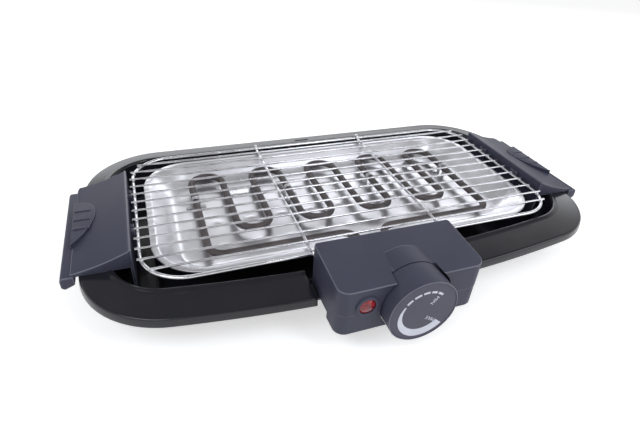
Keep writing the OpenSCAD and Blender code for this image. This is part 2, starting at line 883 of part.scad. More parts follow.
module thermostat_body() color(steel) placed()
    difference() {
        union() {
            translate([knob_x - stat_w / 2, -stat_back, knob_h - stat_h / 2])
                cube([stat_w, stat_l, stat_h]);
            translate([knob_x, -stat_back, knob_h])
                rotate([90, 0, 0]) cylinder(h = bush_l, d = bush_d);
        }
        translate([knob_x, -stat_back + stat_l - 3, knob_h])
            rotate([90, 0, 0]) cylinder(h = bush_l + stat_l, r = shaft_d / 2 + shaft_gap);
    }

module thermostat_nut() color(brass) placed()
    translate([knob_x, -knob_back + seat_gap, knob_h])
        rotate([90, 0, 0])
            difference() {
                cylinder(h = nut_t, d = nut_w, $fn = 6);
                translate([0, 0, -1]) cylinder(h = nut_t + 2, d = bush_d);
            }

// Shaft with a flat that drives the knob
flat_depth = 1.2;
shaft_in = 10;
shaft_end = knob_face - knob_wall - 3;

module shaft_solid(l) {
    difference() {
        cylinder(h = l, d = shaft_d);
        translate([-shaft_d, shaft_d / 2 - flat_depth, bush_l + shaft_in + 1])
            cube([2 * shaft_d, shaft_d, l]);
    }
}

module thermostat_shaft() color(steel) placed()
    translate([knob_x, -stat_back + shaft_in, knob_h])
        rotate([90, 0, 0])
            shaft_solid(shaft_end - stat_back + shaft_in);

hub_d = 13;

module temperature_knob() color(plastic) placed()
    translate([knob_x, -knob_back, knob_h])
        rotate([90, 0, 0])
            difference() {
                union() {
                    difference() {
                        union() {
                            cylinder(h = knob_l - 1, d = knob_d);
                            translate([0, 0, knob_l - 1]) cylinder(h = 1, d1 = knob_d, d2 = knob_d - 2);
                        }
                        translate([0, 0, -1]) cylinder(h = knob_l - knob_wall + 1, d = knob_d - 2 * knob_wall);
                    }
                    hub_start = bush_l + 2;
                    translate([0, 0, hub_start]) cylinder(h = knob_l - hub_start - 1, d = hub_d);
                }
                translate([0, 0, stat_back - knob_back - shaft_in])
                    shaft_solid(shaft_end - stat_back + shaft_in);
            }

// Terminal block, wires and the cord's inlet
block_w = 28;
block_d = 12;
block_h = 13;
way_in = 5;
way_pitch = 9;
block_back = 4;
block_at = [box_left + boss_in + boss_r + 2, -box_back - box_wall - block_back - block_d, saddle_h + box_wall];
wire_d = 2.2;
wire_gap = 1.5;
gland_d = 10;
gland_at = [knob_x + recess_r + box_wall + wire_d / 2 + wire_gap, -(step_y + box_front) / 2];
way_x = [for (i = [0:2]) block_at[0] + way_in + i * way_pitch];

module terminal_block() color(ceramic) placed()
    difference() {
        translate(block_at) cube([block_w, block_d, block_h]);
        for (x = way_x) {
            translate([x, block_at[1] - 1, block_at[2] + 5])
                rotate([-90, 0, 0]) cylinder(h = block_d + 2, d = wire_d);
            translate([x, block_at[1] + block_d / 2, block_at[2] + 7])
                cylinder(h = block_h, d = 4);
        }
    }

wire_h = block_at[2] + 5;
wire_start_y = block_at[1] + 2;

module live_wire() color("saddlebrown") placed()
    bent_rod([
        [way_x[2], wire_start_y, wire_h],
        [way_x[2], -stat_back + stat_l / 2, wire_h],
        [way_x[2], -stat_back + stat_l / 2, knob_h + 4],
        [knob_x - stat_w / 2, -stat_back + stat_l / 2, knob_h + 4]
    ], wire_d);

module neutral_wire() color("steelblue") placed()
    bent_rod([
        [way_x[1], wire_start_y, wire_h],
        [way_x[1], wire_start_y - 9, wire_h],
        [way_x[1], wire_start_y - 9, block_at[2] + block_h + 4],
        [way_x[1], -tube_end - pin_out + 3, block_at[2] + block_h + 4],
        [terminal_x[0], -tube_end - pin_out + 3, block_at[2] + block_h + 4],
        [terminal_x[0], -tube_end - pin_out + 3, tube_h + pin_d / 2]
    ], wire_d);

// The block's first way lies behind the lamp, so this wire bends in one plane
module lamp_wire() color("gold") placed()
    bent_rod([
        [way_x[0], wire_start_y, wire_h],
        [way_x[0], lead_end + 8, wire_h],
        [lamp_x, lead_end + 8, lamp_h],
        [lamp_x, lead_end, lamp_h]
    ], wire_d);

// From the thermostat's side to the second pin
module element_wire() color("firebrick") placed() {
    side_x = knob_x + stat_w / 2;
    pin_y = -tube_end - pin_out + 3;
    stat_y = -stat_back + stat_l / 2;
    bent_rod([
        [terminal_x[1] + pin_d / 2, pin_y, tube_h],
        [side_x + 8, pin_y, tube_h],
        [side_x + 8, stat_y, tube_h],
        [side_x, stat_y, tube_h]
    ], wire_d);
}

module earth_wire() color("yellowgreen") placed()
    bent_rod([
        [terminal_x[1] + 9, -box_back - box_wall - flange_t, tube_h],
        [terminal_x[1] + 9, -box_back - box_wall - flange_t - 6, tube_h],
        [gland_at[0], gland_at[1] + 6, tube_h],
        [gland_at[0], gland_at[1], box_low + box_wall + 6]
    ], wire_d);

module cord_gland() color(rubber) placed()
    translate([gland_at[0], gland_at[1], box_low - 1])
        difference() {
            union() {
                cylinder(h = 1, d = gland_d + 3);
                cylinder(h = box_wall + 4, d = gland_d);
            }
            translate([0, 0, -1]) cylinder(h = box_wall + 6, d = gland_d - 3);
        }

// Wire grate
weld = 0.15;
rod_h = grate_h + frame_wire / 2 + rod_wire / 2 - weld;
rod_pitch = grate_d / (rod_count + 1);
long_rows = [5, rod_count - 4];
long_rod_y = [for (i = long_rows) grate_d / 2 - i * rod_pitch];

module rod_row(row, half_l) {
    translate([-half_l, grate_d / 2 - row * rod_pitch, rod_h])
        rotate([0, 90, 0]) cylinder(h = 2 * half_l, d = rod_wire, $fn = 24);
}

module grate_frame() color(chrome) placed() {
    side_x = grate_w / 2 - grate_corner_r;
    side_y = grate_d / 2 - grate_corner_r;
    translate([0, 0, grate_h]) {
        for (s = [-1, 1]) {
            translate([-side_x, s * grate_d / 2, 0])
                rotate([0, 90, 0]) cylinder(h = 2 * side_x, d = frame_wire);
            translate([s * grate_w / 2, side_y, 0])
                rotate([90, 0, 0]) cylinder(h = 2 * side_y, d = frame_wire);
        }
        for (q = [0:3])
            translate([(q == 0 || q == 3 ? 1 : -1) * side_x, (q < 2 ? 1 : -1) * side_y, 0])
                rotate([0, 0, 90 * q])
                    rotate_extrude(angle = 90) translate([grate_corner_r, 0]) circle(d = frame_wire);
    }
}

// The frame's corners are round, so the outer rods are shorter
function rod_half(row) =
    let (
        y = abs(grate_d / 2 - row * rod_pitch),
        in_corner = max(0, y - (grate_d / 2 - grate_corner_r))
    )
    grate_w / 2 - grate_corner_r + sqrt(pow(grate_corner_r, 2) - pow(in_corner, 2)) + rod_over;

module grate_rods() color(chrome) placed()
    for (row = [1:rod_count])
        if (row != long_rows[0] && row != long_rows[1]) rod_row(row, rod_half(row));

module grate_long_rods() color(chrome) placed()
    for (row = long_rows) rod_row(row, handle_inner - lift_gap / 2);

// Each cross bar lies under the rods and hooks over the frame's long wires
module grate_cross_bars() color(chrome) placed() {
    hook_r = frame_wire / 2 + bar_wire / 2;
    inner = grate_d / 2 - hook_r;
    both_ends()
        translate([bar_x, 0, grate_h]) {
            translate([0, -inner, 0])
                rotate([-90, 0, 0]) cylinder(h = 2 * inner, d = bar_wire);
            for (s = [-1, 1])
                translate([0, s * grate_d / 2, 0])
                    rotate([0, -90, 0])
                        rotate([0, 0, -90])
                            rotate_extrude(angle = 180) translate([hook_r, 0]) circle(d = bar_wire);
        }
}

base_tray();
left_handle();
right_handle();
handle_screws();
rubber_feet();
reflector_pan();
heating_element();
terminal_pins();
element_clips();
clip_rivets();
element_flange();
control_cover();
control_bottom();
housing_screws();
lamp_bezel();
lamp_lens();
neon_lamp();
thermostat_body();
thermostat_nut();
terminal_block();
live_wire();
neutral_wire();
lamp_wire();
element_wire();
earth_wire();
cord_gland();
thermostat_shaft();
temperature_knob();
grate_frame();
grate_rods();
grate_long_rods();
grate_cross_bars();
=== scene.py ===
# %% [markdown]
# A tabletop electric grill. The engineering model already stands in the scene as
# a fixed frame: every wire, screw and wall at its real size. This lesson gives
# it its looks. Pieces whose edges are too sharp for a moulding are modelled
# again with soft edges, and every surface gets a finish made of nodes.

# %% Load the frame
import json
import math
import bpy
from mathutils import Matrix, Vector

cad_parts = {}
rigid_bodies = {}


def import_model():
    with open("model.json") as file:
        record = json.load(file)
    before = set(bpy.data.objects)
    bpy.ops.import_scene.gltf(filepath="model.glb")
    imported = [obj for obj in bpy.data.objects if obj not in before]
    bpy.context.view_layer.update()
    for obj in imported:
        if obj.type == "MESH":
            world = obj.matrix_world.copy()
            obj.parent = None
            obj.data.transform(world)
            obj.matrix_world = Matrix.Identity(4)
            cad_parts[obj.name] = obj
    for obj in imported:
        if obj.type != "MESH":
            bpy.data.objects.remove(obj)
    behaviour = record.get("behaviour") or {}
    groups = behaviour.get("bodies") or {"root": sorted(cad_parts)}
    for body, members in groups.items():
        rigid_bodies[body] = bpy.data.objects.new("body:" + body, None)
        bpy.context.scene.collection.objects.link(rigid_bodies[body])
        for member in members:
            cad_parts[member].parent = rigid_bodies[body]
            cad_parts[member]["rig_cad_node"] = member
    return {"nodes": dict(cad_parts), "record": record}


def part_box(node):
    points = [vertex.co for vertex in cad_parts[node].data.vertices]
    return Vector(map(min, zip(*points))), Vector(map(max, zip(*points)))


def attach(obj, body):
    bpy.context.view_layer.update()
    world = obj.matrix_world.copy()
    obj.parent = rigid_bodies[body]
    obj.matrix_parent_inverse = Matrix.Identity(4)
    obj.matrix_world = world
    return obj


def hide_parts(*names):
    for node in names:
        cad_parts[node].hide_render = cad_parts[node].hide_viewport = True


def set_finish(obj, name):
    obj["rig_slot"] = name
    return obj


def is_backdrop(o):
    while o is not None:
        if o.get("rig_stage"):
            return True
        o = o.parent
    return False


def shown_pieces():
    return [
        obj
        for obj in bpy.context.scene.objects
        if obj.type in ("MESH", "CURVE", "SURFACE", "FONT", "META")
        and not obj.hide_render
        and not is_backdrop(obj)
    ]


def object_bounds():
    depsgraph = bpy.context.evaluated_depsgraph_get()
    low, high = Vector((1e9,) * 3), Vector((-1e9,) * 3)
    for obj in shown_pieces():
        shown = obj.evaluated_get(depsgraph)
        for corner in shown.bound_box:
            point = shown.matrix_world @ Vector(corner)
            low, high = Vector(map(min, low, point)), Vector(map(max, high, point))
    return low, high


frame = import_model()
cad_low, cad_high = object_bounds()
nodes = frame["nodes"]
MM = 0.001
CLOSE = 0.01 * MM
print("frame size in mm:", [round(s / MM, 1) for s in cad_high - cad_low])

# %% [markdown]
# The camera comes first, because it decides how much detail each piece needs.
# It stands to the front left, a little above the grill, and is rolled by about
# four degrees, as a hand-held product picture often is. Three angles and a
# distance are easier to read and change than a finished matrix.

# %% Camera
look_at = Vector((-36.4, -21.45, 50)) * MM
azimuth, elevation, roll = math.radians(-22.68), math.radians(34.37), math.radians(4.19)
distance = 415.5 * MM

back = Vector((math.sin(azimuth) * math.cos(elevation),
               -math.cos(azimuth) * math.cos(elevation),
               math.sin(elevation)))
level = Vector((0, 0, 1)).cross(back).normalized()
upward = back.cross(level)
right = math.cos(roll) * level + math.sin(roll) * upward
up = math.cos(roll) * upward - math.sin(roll) * level

camera_data = bpy.data.cameras.new("camera")
camera_data.lens = 26.106
camera_data.sensor_width = 36
camera_data.clip_start = 0.01
camera = bpy.data.objects.new("camera", camera_data)
bpy.context.scene.collection.objects.link(camera)
turn = Matrix((right, up, back)).transposed().to_4x4()
camera.matrix_world = Matrix.Translation(look_at + back * distance) @ turn
bpy.context.scene.camera = camera
bpy.context.scene.view_settings.view_transform = "Standard"
print("camera at", [round(c, 4) for c in camera.matrix_world.translation])

# %% [markdown]
# A few small helpers follow. Blender's operators act on whatever is selected, so
# each one starts by selecting a single object. Modifiers are applied at once,
# so that the mesh that is seen is the mesh that is kept. Most bevels take every
# sharp edge, but bevel_edges takes only the edges that a test picks out. A point
# that is nearer to a plane than CLOSE counts as lying on it.

# %% Helpers for selecting and finishing
def only(obj):
    bpy.ops.object.select_all(action="DESELECT")
    obj.select_set(True)
    bpy.context.view_layer.objects.active = obj


def apply_modifier(obj, kind, **settings):
    only(obj)
    modifier = obj.modifiers.new(kind.lower(), kind)
    for name, value in settings.items():
        setattr(modifier, name, value)
    bpy.ops.object.modifier_apply(modifier=modifier.name)


def clean_up(obj):
    only(obj)
    bpy.ops.object.mode_set(mode="EDIT")
    bpy.ops.mesh.select_all(action="SELECT")
    bpy.ops.mesh.remove_doubles(threshold=0.002 * MM)
    bpy.ops.mesh.normals_make_consistent(inside=False)
    bpy.ops.object.mode_set(mode="OBJECT")


def soften(obj, width, segments, angle=40):
    apply_modifier(obj, "BEVEL", width=width, segments=segments, limit_method="ANGLE",
                   angle_limit=math.radians(angle), use_clamp_overlap=False)


def smooth(obj, angle):
    only(obj)
    bpy.ops.object.shade_smooth_by_angle(angle=math.radians(angle))


def even_normals(obj):
    """Flat faces keep their own direction, so that a bevel shades as one soft turn."""
    apply_modifier(obj, "WEIGHTED_NORMAL", keep_sharp=True)


def select_nothing(obj):
    """Clears what is selected in a mesh, so that a script can select parts of it."""
    only(obj)
    bpy.ops.object.mode_set(mode="EDIT")
    bpy.ops.mesh.select_all(action="DESELECT")
    bpy.ops.object.mode_set(mode="OBJECT")


def bevel_edges(obj, width, segments, wanted):
    """Bevels the edges whose two ends both pass the test."""
    select_nothing(obj)
    for edge in obj.data.edges:
        edge.select = all(wanted(obj.data.vertices[i].co) for i in edge.vertices)
    bpy.ops.object.mode_set(mode="EDIT")
    bpy.ops.mesh.select_mode(type="EDGE")
    bpy.ops.mesh.bevel(offset=width, segments=segments, affect="EDGES")
    bpy.ops.object.mode_set(mode="OBJECT")


def cut(obj, tool, operation="DIFFERENCE"):
    apply_modifier(obj, "BOOLEAN", object=tool, operation=operation, solver="EXACT")
    bpy.data.objects.remove(tool)


def join(name, parts):
    bpy.ops.object.select_all(action="DESELECT")
    for part in parts:
        part.select_set(True)
    bpy.context.view_layer.objects.active = parts[0]
    bpy.ops.object.join()
    parts[0].name = name
    return parts[0]


def settle(obj, body, slot, *replaced):
    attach(obj, body)
    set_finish(obj, slot)
    if replaced:
        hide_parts(*replaced)
    print(obj.name, "has", len(obj.data.polygons), "faces")


# %% [markdown]
# Most mouldings are one of three things: an outline pushed along a line, a
# profile turned about an axis, or a stack of outlines joined by a skin. One
# helper makes each of them.

# %% Helpers for shapes
def mesh_object(name, points, edges, faces):
    mesh = bpy.data.meshes.new(name)
    mesh.from_pydata([tuple(p) for p in points], edges, faces)
    obj = bpy.data.objects.new(name, mesh)
    bpy.context.scene.collection.objects.link(obj)
    return obj


def slab(name, outline, push):
    obj = mesh_object(name, outline, [], [range(len(outline))])
    only(obj)
    bpy.ops.object.mode_set(mode="EDIT")
    bpy.ops.mesh.select_all(action="SELECT")
    bpy.ops.mesh.extrude_region_move(TRANSFORM_OT_translate={"value": push})
    bpy.ops.mesh.select_all(action="SELECT")
    bpy.ops.mesh.normals_make_consistent(inside=False)
    bpy.ops.object.mode_set(mode="OBJECT")
    return obj


def block(name, low, high):
    bpy.ops.object.select_all(action="DESELECT")
    low, high = Vector(low), Vector(high)
    bpy.ops.mesh.primitive_cube_add(size=1, location=(low + high) / 2, scale=high - low)
    bpy.ops.object.transform_apply(location=True, rotation=True, scale=True)
    obj = bpy.context.active_object
    obj.name = name
    return obj


def turned(name, profile, centre, steps=96):
    """Turns (radius, distance towards the front) points about a line along Y."""
    points = [Vector((radius, -along, 0)) for radius, along in profile]
    edges = [(i, i + 1) for i in range(len(points) - 1)]
    obj = mesh_object(name, points, edges, [])
    apply_modifier(obj, "SCREW", axis="Y", angle=math.tau, steps=steps, render_steps=steps,
                   screw_offset=0, use_merge_vertices=True, merge_threshold=0.001 * MM)
    obj.data.transform(Matrix.Translation(centre))
    clean_up(obj)
    return obj


def drum(name, radius, centre, front, rear):
    """Plain cylinder along Y, used as a cutting tool."""
    bpy.ops.object.select_all(action="DESELECT")
    place = Vector((centre[0], (front + rear) / 2, centre[2]))
    bpy.ops.mesh.primitive_cylinder_add(vertices=96, radius=radius, depth=rear - front,
                                        location=place, rotation=(math.pi / 2, 0, 0))
    bpy.ops.object.transform_apply(location=True, rotation=True, scale=True)
    obj = bpy.context.active_object
    obj.name = name
    return obj


def arc(cx, cy, radius, start, end, steps):
    angles = [start + (end - start) * i / steps for i in range(steps + 1)]
    return [(cx + radius * math.cos(a), cy + radius * math.sin(a)) for a in angles]


def loft(name, rings, closed_ends=True):
    count = len(rings[0])
    points = [p for ring in rings for p in ring]
    faces = []
    for row in range(len(rings) - 1):
        for i in range(count):
            j = (i + 1) % count
            faces.append((row * count + i, (row + 1) * count + i,
                          (row + 1) * count + j, row * count + j))
    if closed_ends:
        last = (len(rings) - 1) * count
        faces.append(tuple(range(count)))
        faces.append(tuple(last + i for i in reversed(range(count))))
    obj = mesh_object(name, points, [], faces)
    clean_up(obj)
    return obj


# %% [markdown]
# The tray is one glossy moulding. Its front edge is bowed and its corners are
# round, so a box with bevels would not follow it. The outline is a function
# that can be drawn smaller, and the rim's rolled edge, the bead and the basin's
# rounded foot are rings of that outline, from the underside round to the inside.

# %% Tray outlines
tray_low, tray_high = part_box("base_tray")
grate_low, grate_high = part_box("grate_frame")
middle_y = (grate_low.y + grate_high.y) / 2
rim_half = (tray_high.x - tray_low.x) / 2
rim_back = tray_high.y - middle_y
rim_front = middle_y - tray_low.y
rim_top, rim_corner, rim_bow = 42 * MM, 71 * MM, 1200 * MM
opening_half, opening_back, opening_front = 212 * MM, 108 * MM, 106 * MM
opening_corner, opening_bow = 45 * MM, rim_bow + 40 * MM
print("tray reaches", round(rim_back / MM, 1), "back and", round(rim_front / MM, 1), "forward")


def tray_outline(half, rear, front, bow, corner, height):
    side = half - corner
    bow_y = bow - front
    side_y = bow_y - math.sqrt((bow - corner) ** 2 - side ** 2)
    lean = math.asin(side / (bow - corner))
    half_pi = math.pi / 2
    flat = arc(side, rear - corner, corner, 0, half_pi, 20)
    flat += arc(-side, rear - corner, corner, half_pi, math.pi, 20)
    flat += arc(-side, side_y, corner, math.pi, 3 * half_pi - lean, 20)
    flat += arc(0, bow_y, bow, 3 * half_pi - lean, 3 * half_pi + lean, 32)[1:-1]
    flat += arc(side, side_y, corner, 3 * half_pi + lean, 4 * half_pi, 20)
    return [(x, y + middle_y, height) for x, y in flat]


def rim_ring(inset, height):
    inset, height = inset * MM, height * MM
    return tray_outline(rim_half - inset, rim_back - inset, rim_front - inset,
                        rim_bow - inset, rim_corner - inset, height)


def opening_ring(inset, height):
    inset, height = inset * MM, height * MM
    return tray_outline(opening_half - inset, opening_back - inset, opening_front - inset,
                        opening_bow - inset, opening_corner - inset, height)


# %% [markdown]
# Each ring is a pair of millimetres: how far it lies inside its outline, and how
# high it is. A negative first number lies outside the outline.

# %% Tray body
underside = [(15, 4), (11, 4.1), (8.9, 5), (7.9, 6.8), (7.1, 9.5), (-2.0, 38.8), (-2.8, 39.6)]
skirt = [(2.4, 39.6), (2.4, 35.3), (2.1, 35), (0.3, 35), (0.1, 35.1), (0, 35.4),
         (0.1, 36.6), (0.8, 40.2)]
rolled_edge = [(1.0, 40.8), (1.4, 41.4), (2.0, 41.8), (2.8, 41.95), (3.6, 42)]
bead = [(-6.5, 42), (-5.2, 42.05), (-4.4, 42.35), (-3.6, 42.9), (-2.7, 43.2), (-1.7, 43.15),
        (-0.8, 42.8), (-0.2, 42.1), (0.1, 41)]
basin = [(8.1, 13), (8.9, 9.6), (10.4, 7.6), (12.8, 6.6), (16, 6.4)]

rings = [opening_ring(*p) for p in underside]
rings += [rim_ring(*p) for p in skirt + rolled_edge]
rings += [opening_ring(*p) for p in bead + basin]
tray = loft("grill_tray", rings)

# %% [markdown]
# The control box drops into a gap in the front rim, so a block is cut out of the
# skin there and a shelf is put back under the box. The rim's ends at the gap are
# rounded a little, as no moulding has a knife edge. A narrow slot goes through
# the back rim. The ribs under the reflector pan's rim stand on the basin's floor.

# %% Gap, shelf, slot and ribs
cover_low, cover_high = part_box("control_cover")
saddle_side, shelf_top, wall = 6 * MM, 29.4 * MM, 2.4 * MM
gap_left, gap_right = cover_low.x - saddle_side, cover_high.x + saddle_side
gap_back = middle_y - opening_front
slot_y = middle_y + (rim_back + opening_back) / 2
slot_half_x, slot_half_y = 8 * MM, 1.25 * MM


def on_gap_edge(point):
    beside = min(abs(point.x - gap_left), abs(point.x - gap_right)) < CLOSE
    return beside and point.z > shelf_top + MM and point.y < gap_back


cut(tray, block("gap_tool", (gap_left, tray_low.y - MM, shelf_top),
                (gap_right, gap_back + 10 * MM, 60 * MM)))
cut(tray, block("slot_tool", (-slot_half_x, slot_y - slot_half_y, 30 * MM),
                (slot_half_x, slot_y + slot_half_y, 50 * MM)))
bevel_edges(tray, 0.8 * MM, 3, on_gap_edge)

shelf_front, shelf_back = tray_low.y + 15 * MM, gap_back + 3.4 * MM
extras = [block("shelf", (gap_left - wall, shelf_front, shelf_top - wall),
                (gap_right + wall, shelf_back, shelf_top))]
for edge in (gap_left - wall, gap_right):
    extras.append(block("shelf_side", (edge, shelf_front, shelf_top - wall),
                        (edge + wall, shelf_back, 40.8 * MM)))
rib_inner, rib_outer, rib_half = 177 * MM, 180 * MM, 5 * MM
rib_bottom, rib_top = 5 * MM, 44.8 * MM
for side in (-1, 1):
    for along in (-45, 45):
        x = sorted((side * rib_inner, side * rib_outer))
        y = middle_y + along * MM
        extras.append(block("pan_rib", (x[0], y - rib_half, rib_bottom),
                            (x[1], y + rib_half, rib_top)))
for extra in extras:
    soften(extra, 0.3 * MM, 2)
tray = join("grill_tray", [tray] + extras)
smooth(tray, 32)
settle(tray, "base", "gloss_black_plastic", "base_tray")

# %% [markdown]
# A handle is a long moulding with a high inner wall, a hollow slope and a grip
# bar that hangs outside the rim. One side profile, pushed along the handle,
# gives nearly all of it. The thumb rest is a D-shaped pad with a raised lip.

# %% Handle profile
handle_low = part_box("right_handle")[0]
inner_x, outer_x = 195 * MM, 239 * MM
ridge_z, low_z, foot_z = 58.5 * MM, 45 * MM, 18 * MM
handle_front, handle_back = handle_low.y + 2 * MM, handle_low.y + 127 * MM
crest_r, slope_start = 1.2 * MM, inner_x + 2.6 * MM
grip_x, grip_low, grip_high, grip_r = 243.4 * MM, 36.5 * MM, 41 * MM, 3 * MM
grip_length = 120 * MM
rest_low, rest_top = 43 * MM, 50.6 * MM
support_x, support_deep = 191.9 * MM, 4 * MM


def slope_height(share):
    dip = 1.6 * MM * math.sin(math.pi * share)
    return ridge_z - MM + (low_z - ridge_z + MM) * share - dip


def handle_profile():
    crest = arc(inner_x + crest_r, ridge_z - crest_r, crest_r, math.pi, math.radians(75), 6)
    slope = [(slope_start + (outer_x - slope_start) * i / 20,
              slope_height(0.01 + 0.99 * i / 20)) for i in range(21)]
    foot = [(outer_x, rim_top), (inner_x + wall, rim_top), (inner_x + wall, foot_z)]
    return [(inner_x, foot_z)] + crest + slope + foot


def thumb_outline():
    """The round side of the D is one Bezier curve. Its first and last knots are the ends."""
    knots = ((1.5, 29.5), (-27, 33), (-22, -9), (1.5, -35.5))
    points = []
    for i in range(33):
        t = i / 32
        weights = ((1 - t) ** 3, 3 * (1 - t) ** 2 * t, 3 * (1 - t) * t * t, t ** 3)
        points.append(tuple(sum(w * k[axis] for w, k in zip(weights, knots)) for axis in (0, 1)))
    return points


# %% Handle parts
def handle_parts(side):
    shell = slab("handle_shell", [(side * x, handle_front, z) for x, z in handle_profile()],
                 (0, handle_back - handle_front, 0))
    bevel_edges(shell, 7 * MM, 8,
                lambda p: abs(abs(p.x) - outer_x) < CLOSE and p.y > handle_back - CLOSE)
    soften(shell, 0.7 * MM, 3, 50)

    bar = [(outer_x - wall, grip_low), (outer_x - wall, grip_high + grip_r)]
    bar += arc(grip_x, grip_high, grip_r, math.pi / 2, 0, 8)
    bar += arc(grip_x, grip_low, grip_r, 0, -math.pi / 2, 8)
    grip = slab("grip", [(side * x, handle_low.y, z) for x, z in bar], (0, grip_length, 0))
    soften(grip, 0.8 * MM, 3, 50)

    rest = slab("rest", [(side * (outer_x + x * MM), middle_y + y * MM, rest_low)
                         for x, y in thumb_outline()], (0, 0, rest_top - rest_low))
    only(rest)
    for face in rest.data.polygons:
        face.select = abs(face.normal.z) > 0.9 and face.center.z > rest_top - 0.1 * MM
    bpy.ops.object.mode_set(mode="EDIT")
    bpy.ops.mesh.select_mode(type="FACE")
    bpy.ops.mesh.inset(thickness=1.5 * MM, depth=-1.2 * MM)
    bpy.ops.object.mode_set(mode="OBJECT")
    soften(rest, 0.35 * MM, 2)

    parts = [shell, grip, rest]
    for along in (-12, 1, 14):
        x = sorted((side * (outer_x - 13 * MM), side * outer_x))
        y = middle_y + along * MM
        rib = block("rib", (x[0], y - 0.5 * MM, 48 * MM),
                    (x[1], y + 0.5 * MM, rest_top - 0.6 * MM))
        soften(rib, 0.25 * MM, 2)
        parts.append(rib)
    half, groove, low, seat, high = 5, 1.3, 34, 49.95, 53.25
    fork = [(-half, low), (-half, high), (-groove, high), (-groove, seat),
            (groove, seat), (groove, high), (half, high), (half, low)]
    for along in (-27, 27):
        y = middle_y + along * MM
        support = slab("support", [(side * support_x, y + a * MM, z * MM) for a, z in fork],
                       (side * support_deep, 0, 0))
        soften(support, 0.3 * MM, 2)
        parts.append(support)
    return parts


# %% Both handles
handles = []
for side, node_name in ((-1, "left_handle"), (1, "right_handle")):
    handle = join("grill_" + node_name, handle_parts(side))
    smooth(handle, 35)
    settle(handle, "base", "grey_plastic", node_name)
    handles.append(handle)

# %% [markdown]
# The control box is two shells that meet in a fine line. Both start from one
# plan with round corners. The upper one has a sloping top, a round hump behind
# the knob and a recess that the knob sinks into. Cutting the recess and the
# hollow out of a solid leaves walls of an even thickness, as moulding does. The
# recess keeps a wall round it, because a drum is cut out of the hollow first.

# %% Box plan
bottom_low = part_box("control_bottom")[0]
split_z = 42 * MM
box_wall, bush_radius = 2.2 * MM, 4.8 * MM
before_box = cover_low.y - 9 * MM
top_at_front, top_rise = 64.5, 4
knob_low, knob_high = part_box("temperature_knob")
knob_centre = (knob_low + knob_high) / 2
knob_radius = (knob_high.x - knob_low.x) / 2
recess_back = knob_high.y + 0.3 * MM
recess_radius = knob_radius + 1.3 * MM
recess_centre = knob_centre + Vector((0.6 * MM, 0, 0.1 * MM))
print("knob radius in mm:", round(knob_radius / MM, 2))


def box_plan(inset, height):
    front_r, back_r = 9 * MM - inset, max(3 * MM - inset, 0.8 * MM)
    x0, x1 = cover_low.x + inset, cover_high.x - inset
    y0, y1 = cover_low.y + inset, cover_high.y - inset
    half_pi = math.pi / 2
    flat = arc(x1 - back_r, y1 - back_r, back_r, 0, half_pi, 10)
    flat += arc(x0 + back_r, y1 - back_r, back_r, half_pi, math.pi, 10)
    flat += arc(x0 + front_r, y0 + front_r, front_r, math.pi, 3 * half_pi, 10)
    flat += arc(x1 - front_r, y0 + front_r, front_r, 3 * half_pi, 4 * half_pi, 10)
    return [(x, y, height) for x, y in flat]


def top_height(y):
    """The upper shell slopes up towards its back. Its two heights are in mm."""
    share = (y - cover_low.y) / (cover_high.y - cover_low.y)
    return (top_at_front + top_rise * share) * MM


def box_solid(name, inset, low, high, edge):
    """Plan pushed up to a height, or to the sloping top where high is None."""
    solid = slab(name, box_plan(inset, low), (0, 0, 0.05))
    for vertex in solid.data.vertices:
        if vertex.co.z > low + MM:
            vertex.co.z = top_height(vertex.co.y) - inset if high is None else high
    if edge:
        soften(solid, edge, 5, 60)
    return solid


def layer(low, high, front=-0.3):
    """A cutting block from one height to another, past the sides and the back of the box."""
    return block("layer_tool", (-0.1, front, low), (0.1, 0, high))


def trim(shell, low, high):
    """Cuts a shell off at the split and breaks the new edge a little."""
    cut(shell, layer(low, high))
    bevel_edges(shell, 0.3 * MM, 1, lambda p: abs(p.z - split_z) < CLOSE)


def box_hollow(low, high):
    """The inside of a shell, less the wall that runs round the knob's recess."""
    hollow = box_solid("hollow", box_wall, low, high, 0)
    cut(hollow, drum("ring_tool", recess_radius + box_wall, recess_centre,
                     before_box, recess_back + box_wall))
    return hollow


def box_tools():
    """The recess for the knob, and the hole for the bush behind it."""
    yield drum("recess_tool", recess_radius, recess_centre, before_box, recess_back)
    yield drum("bush_tool", bush_radius, knob_centre, recess_back - MM, recess_back + 25 * MM)


def on_recess_edge(point):
    out = math.hypot(point.x - recess_centre.x, point.z - recess_centre.z)
    return abs(point.y - cover_low.y) < CLOSE and abs(out - recess_radius) < 5 * CLOSE


# %% Upper shell
def hump_profile(radius, length):
    edge = 0.8 * MM
    rounding = arc(radius - edge, -length + edge, edge, 0, -math.pi / 2, 5)
    return [(0, 0), (radius, 0)] + rounding + [(0, -length)]


cover = box_solid("grill_cover", 0, split_z - 5 * MM, None, 0.7 * MM)
trim(cover, 0, split_z)
hump_base = Vector((knob_centre.x, recess_back, knob_centre.z))
hump = turned("hump", hump_profile(knob_radius, 20 * MM), hump_base)
cut(hump, layer(0, split_z + 0.5 * MM))
cut(cover, hump, "UNION")
cut(cover, box_hollow(split_z - 5 * MM, None))
for tool in box_tools():
    cut(cover, tool)
bevel_edges(cover, 0.3 * MM, 2, on_recess_edge)
lens_low, lens_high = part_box("lamp_lens")
lamp_centre = (lens_low + lens_high) / 2
bezel_low, bezel_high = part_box("lamp_bezel")
lamp_hole = 7.9 * MM
cut(cover, drum("lamp_tool", lamp_hole, lamp_centre, cover_low.y - MM, cover_low.y + 4 * MM))
smooth(cover, 24)
even_normals(cover)
settle(cover, "heating_unit", "grey_plastic", "control_cover")

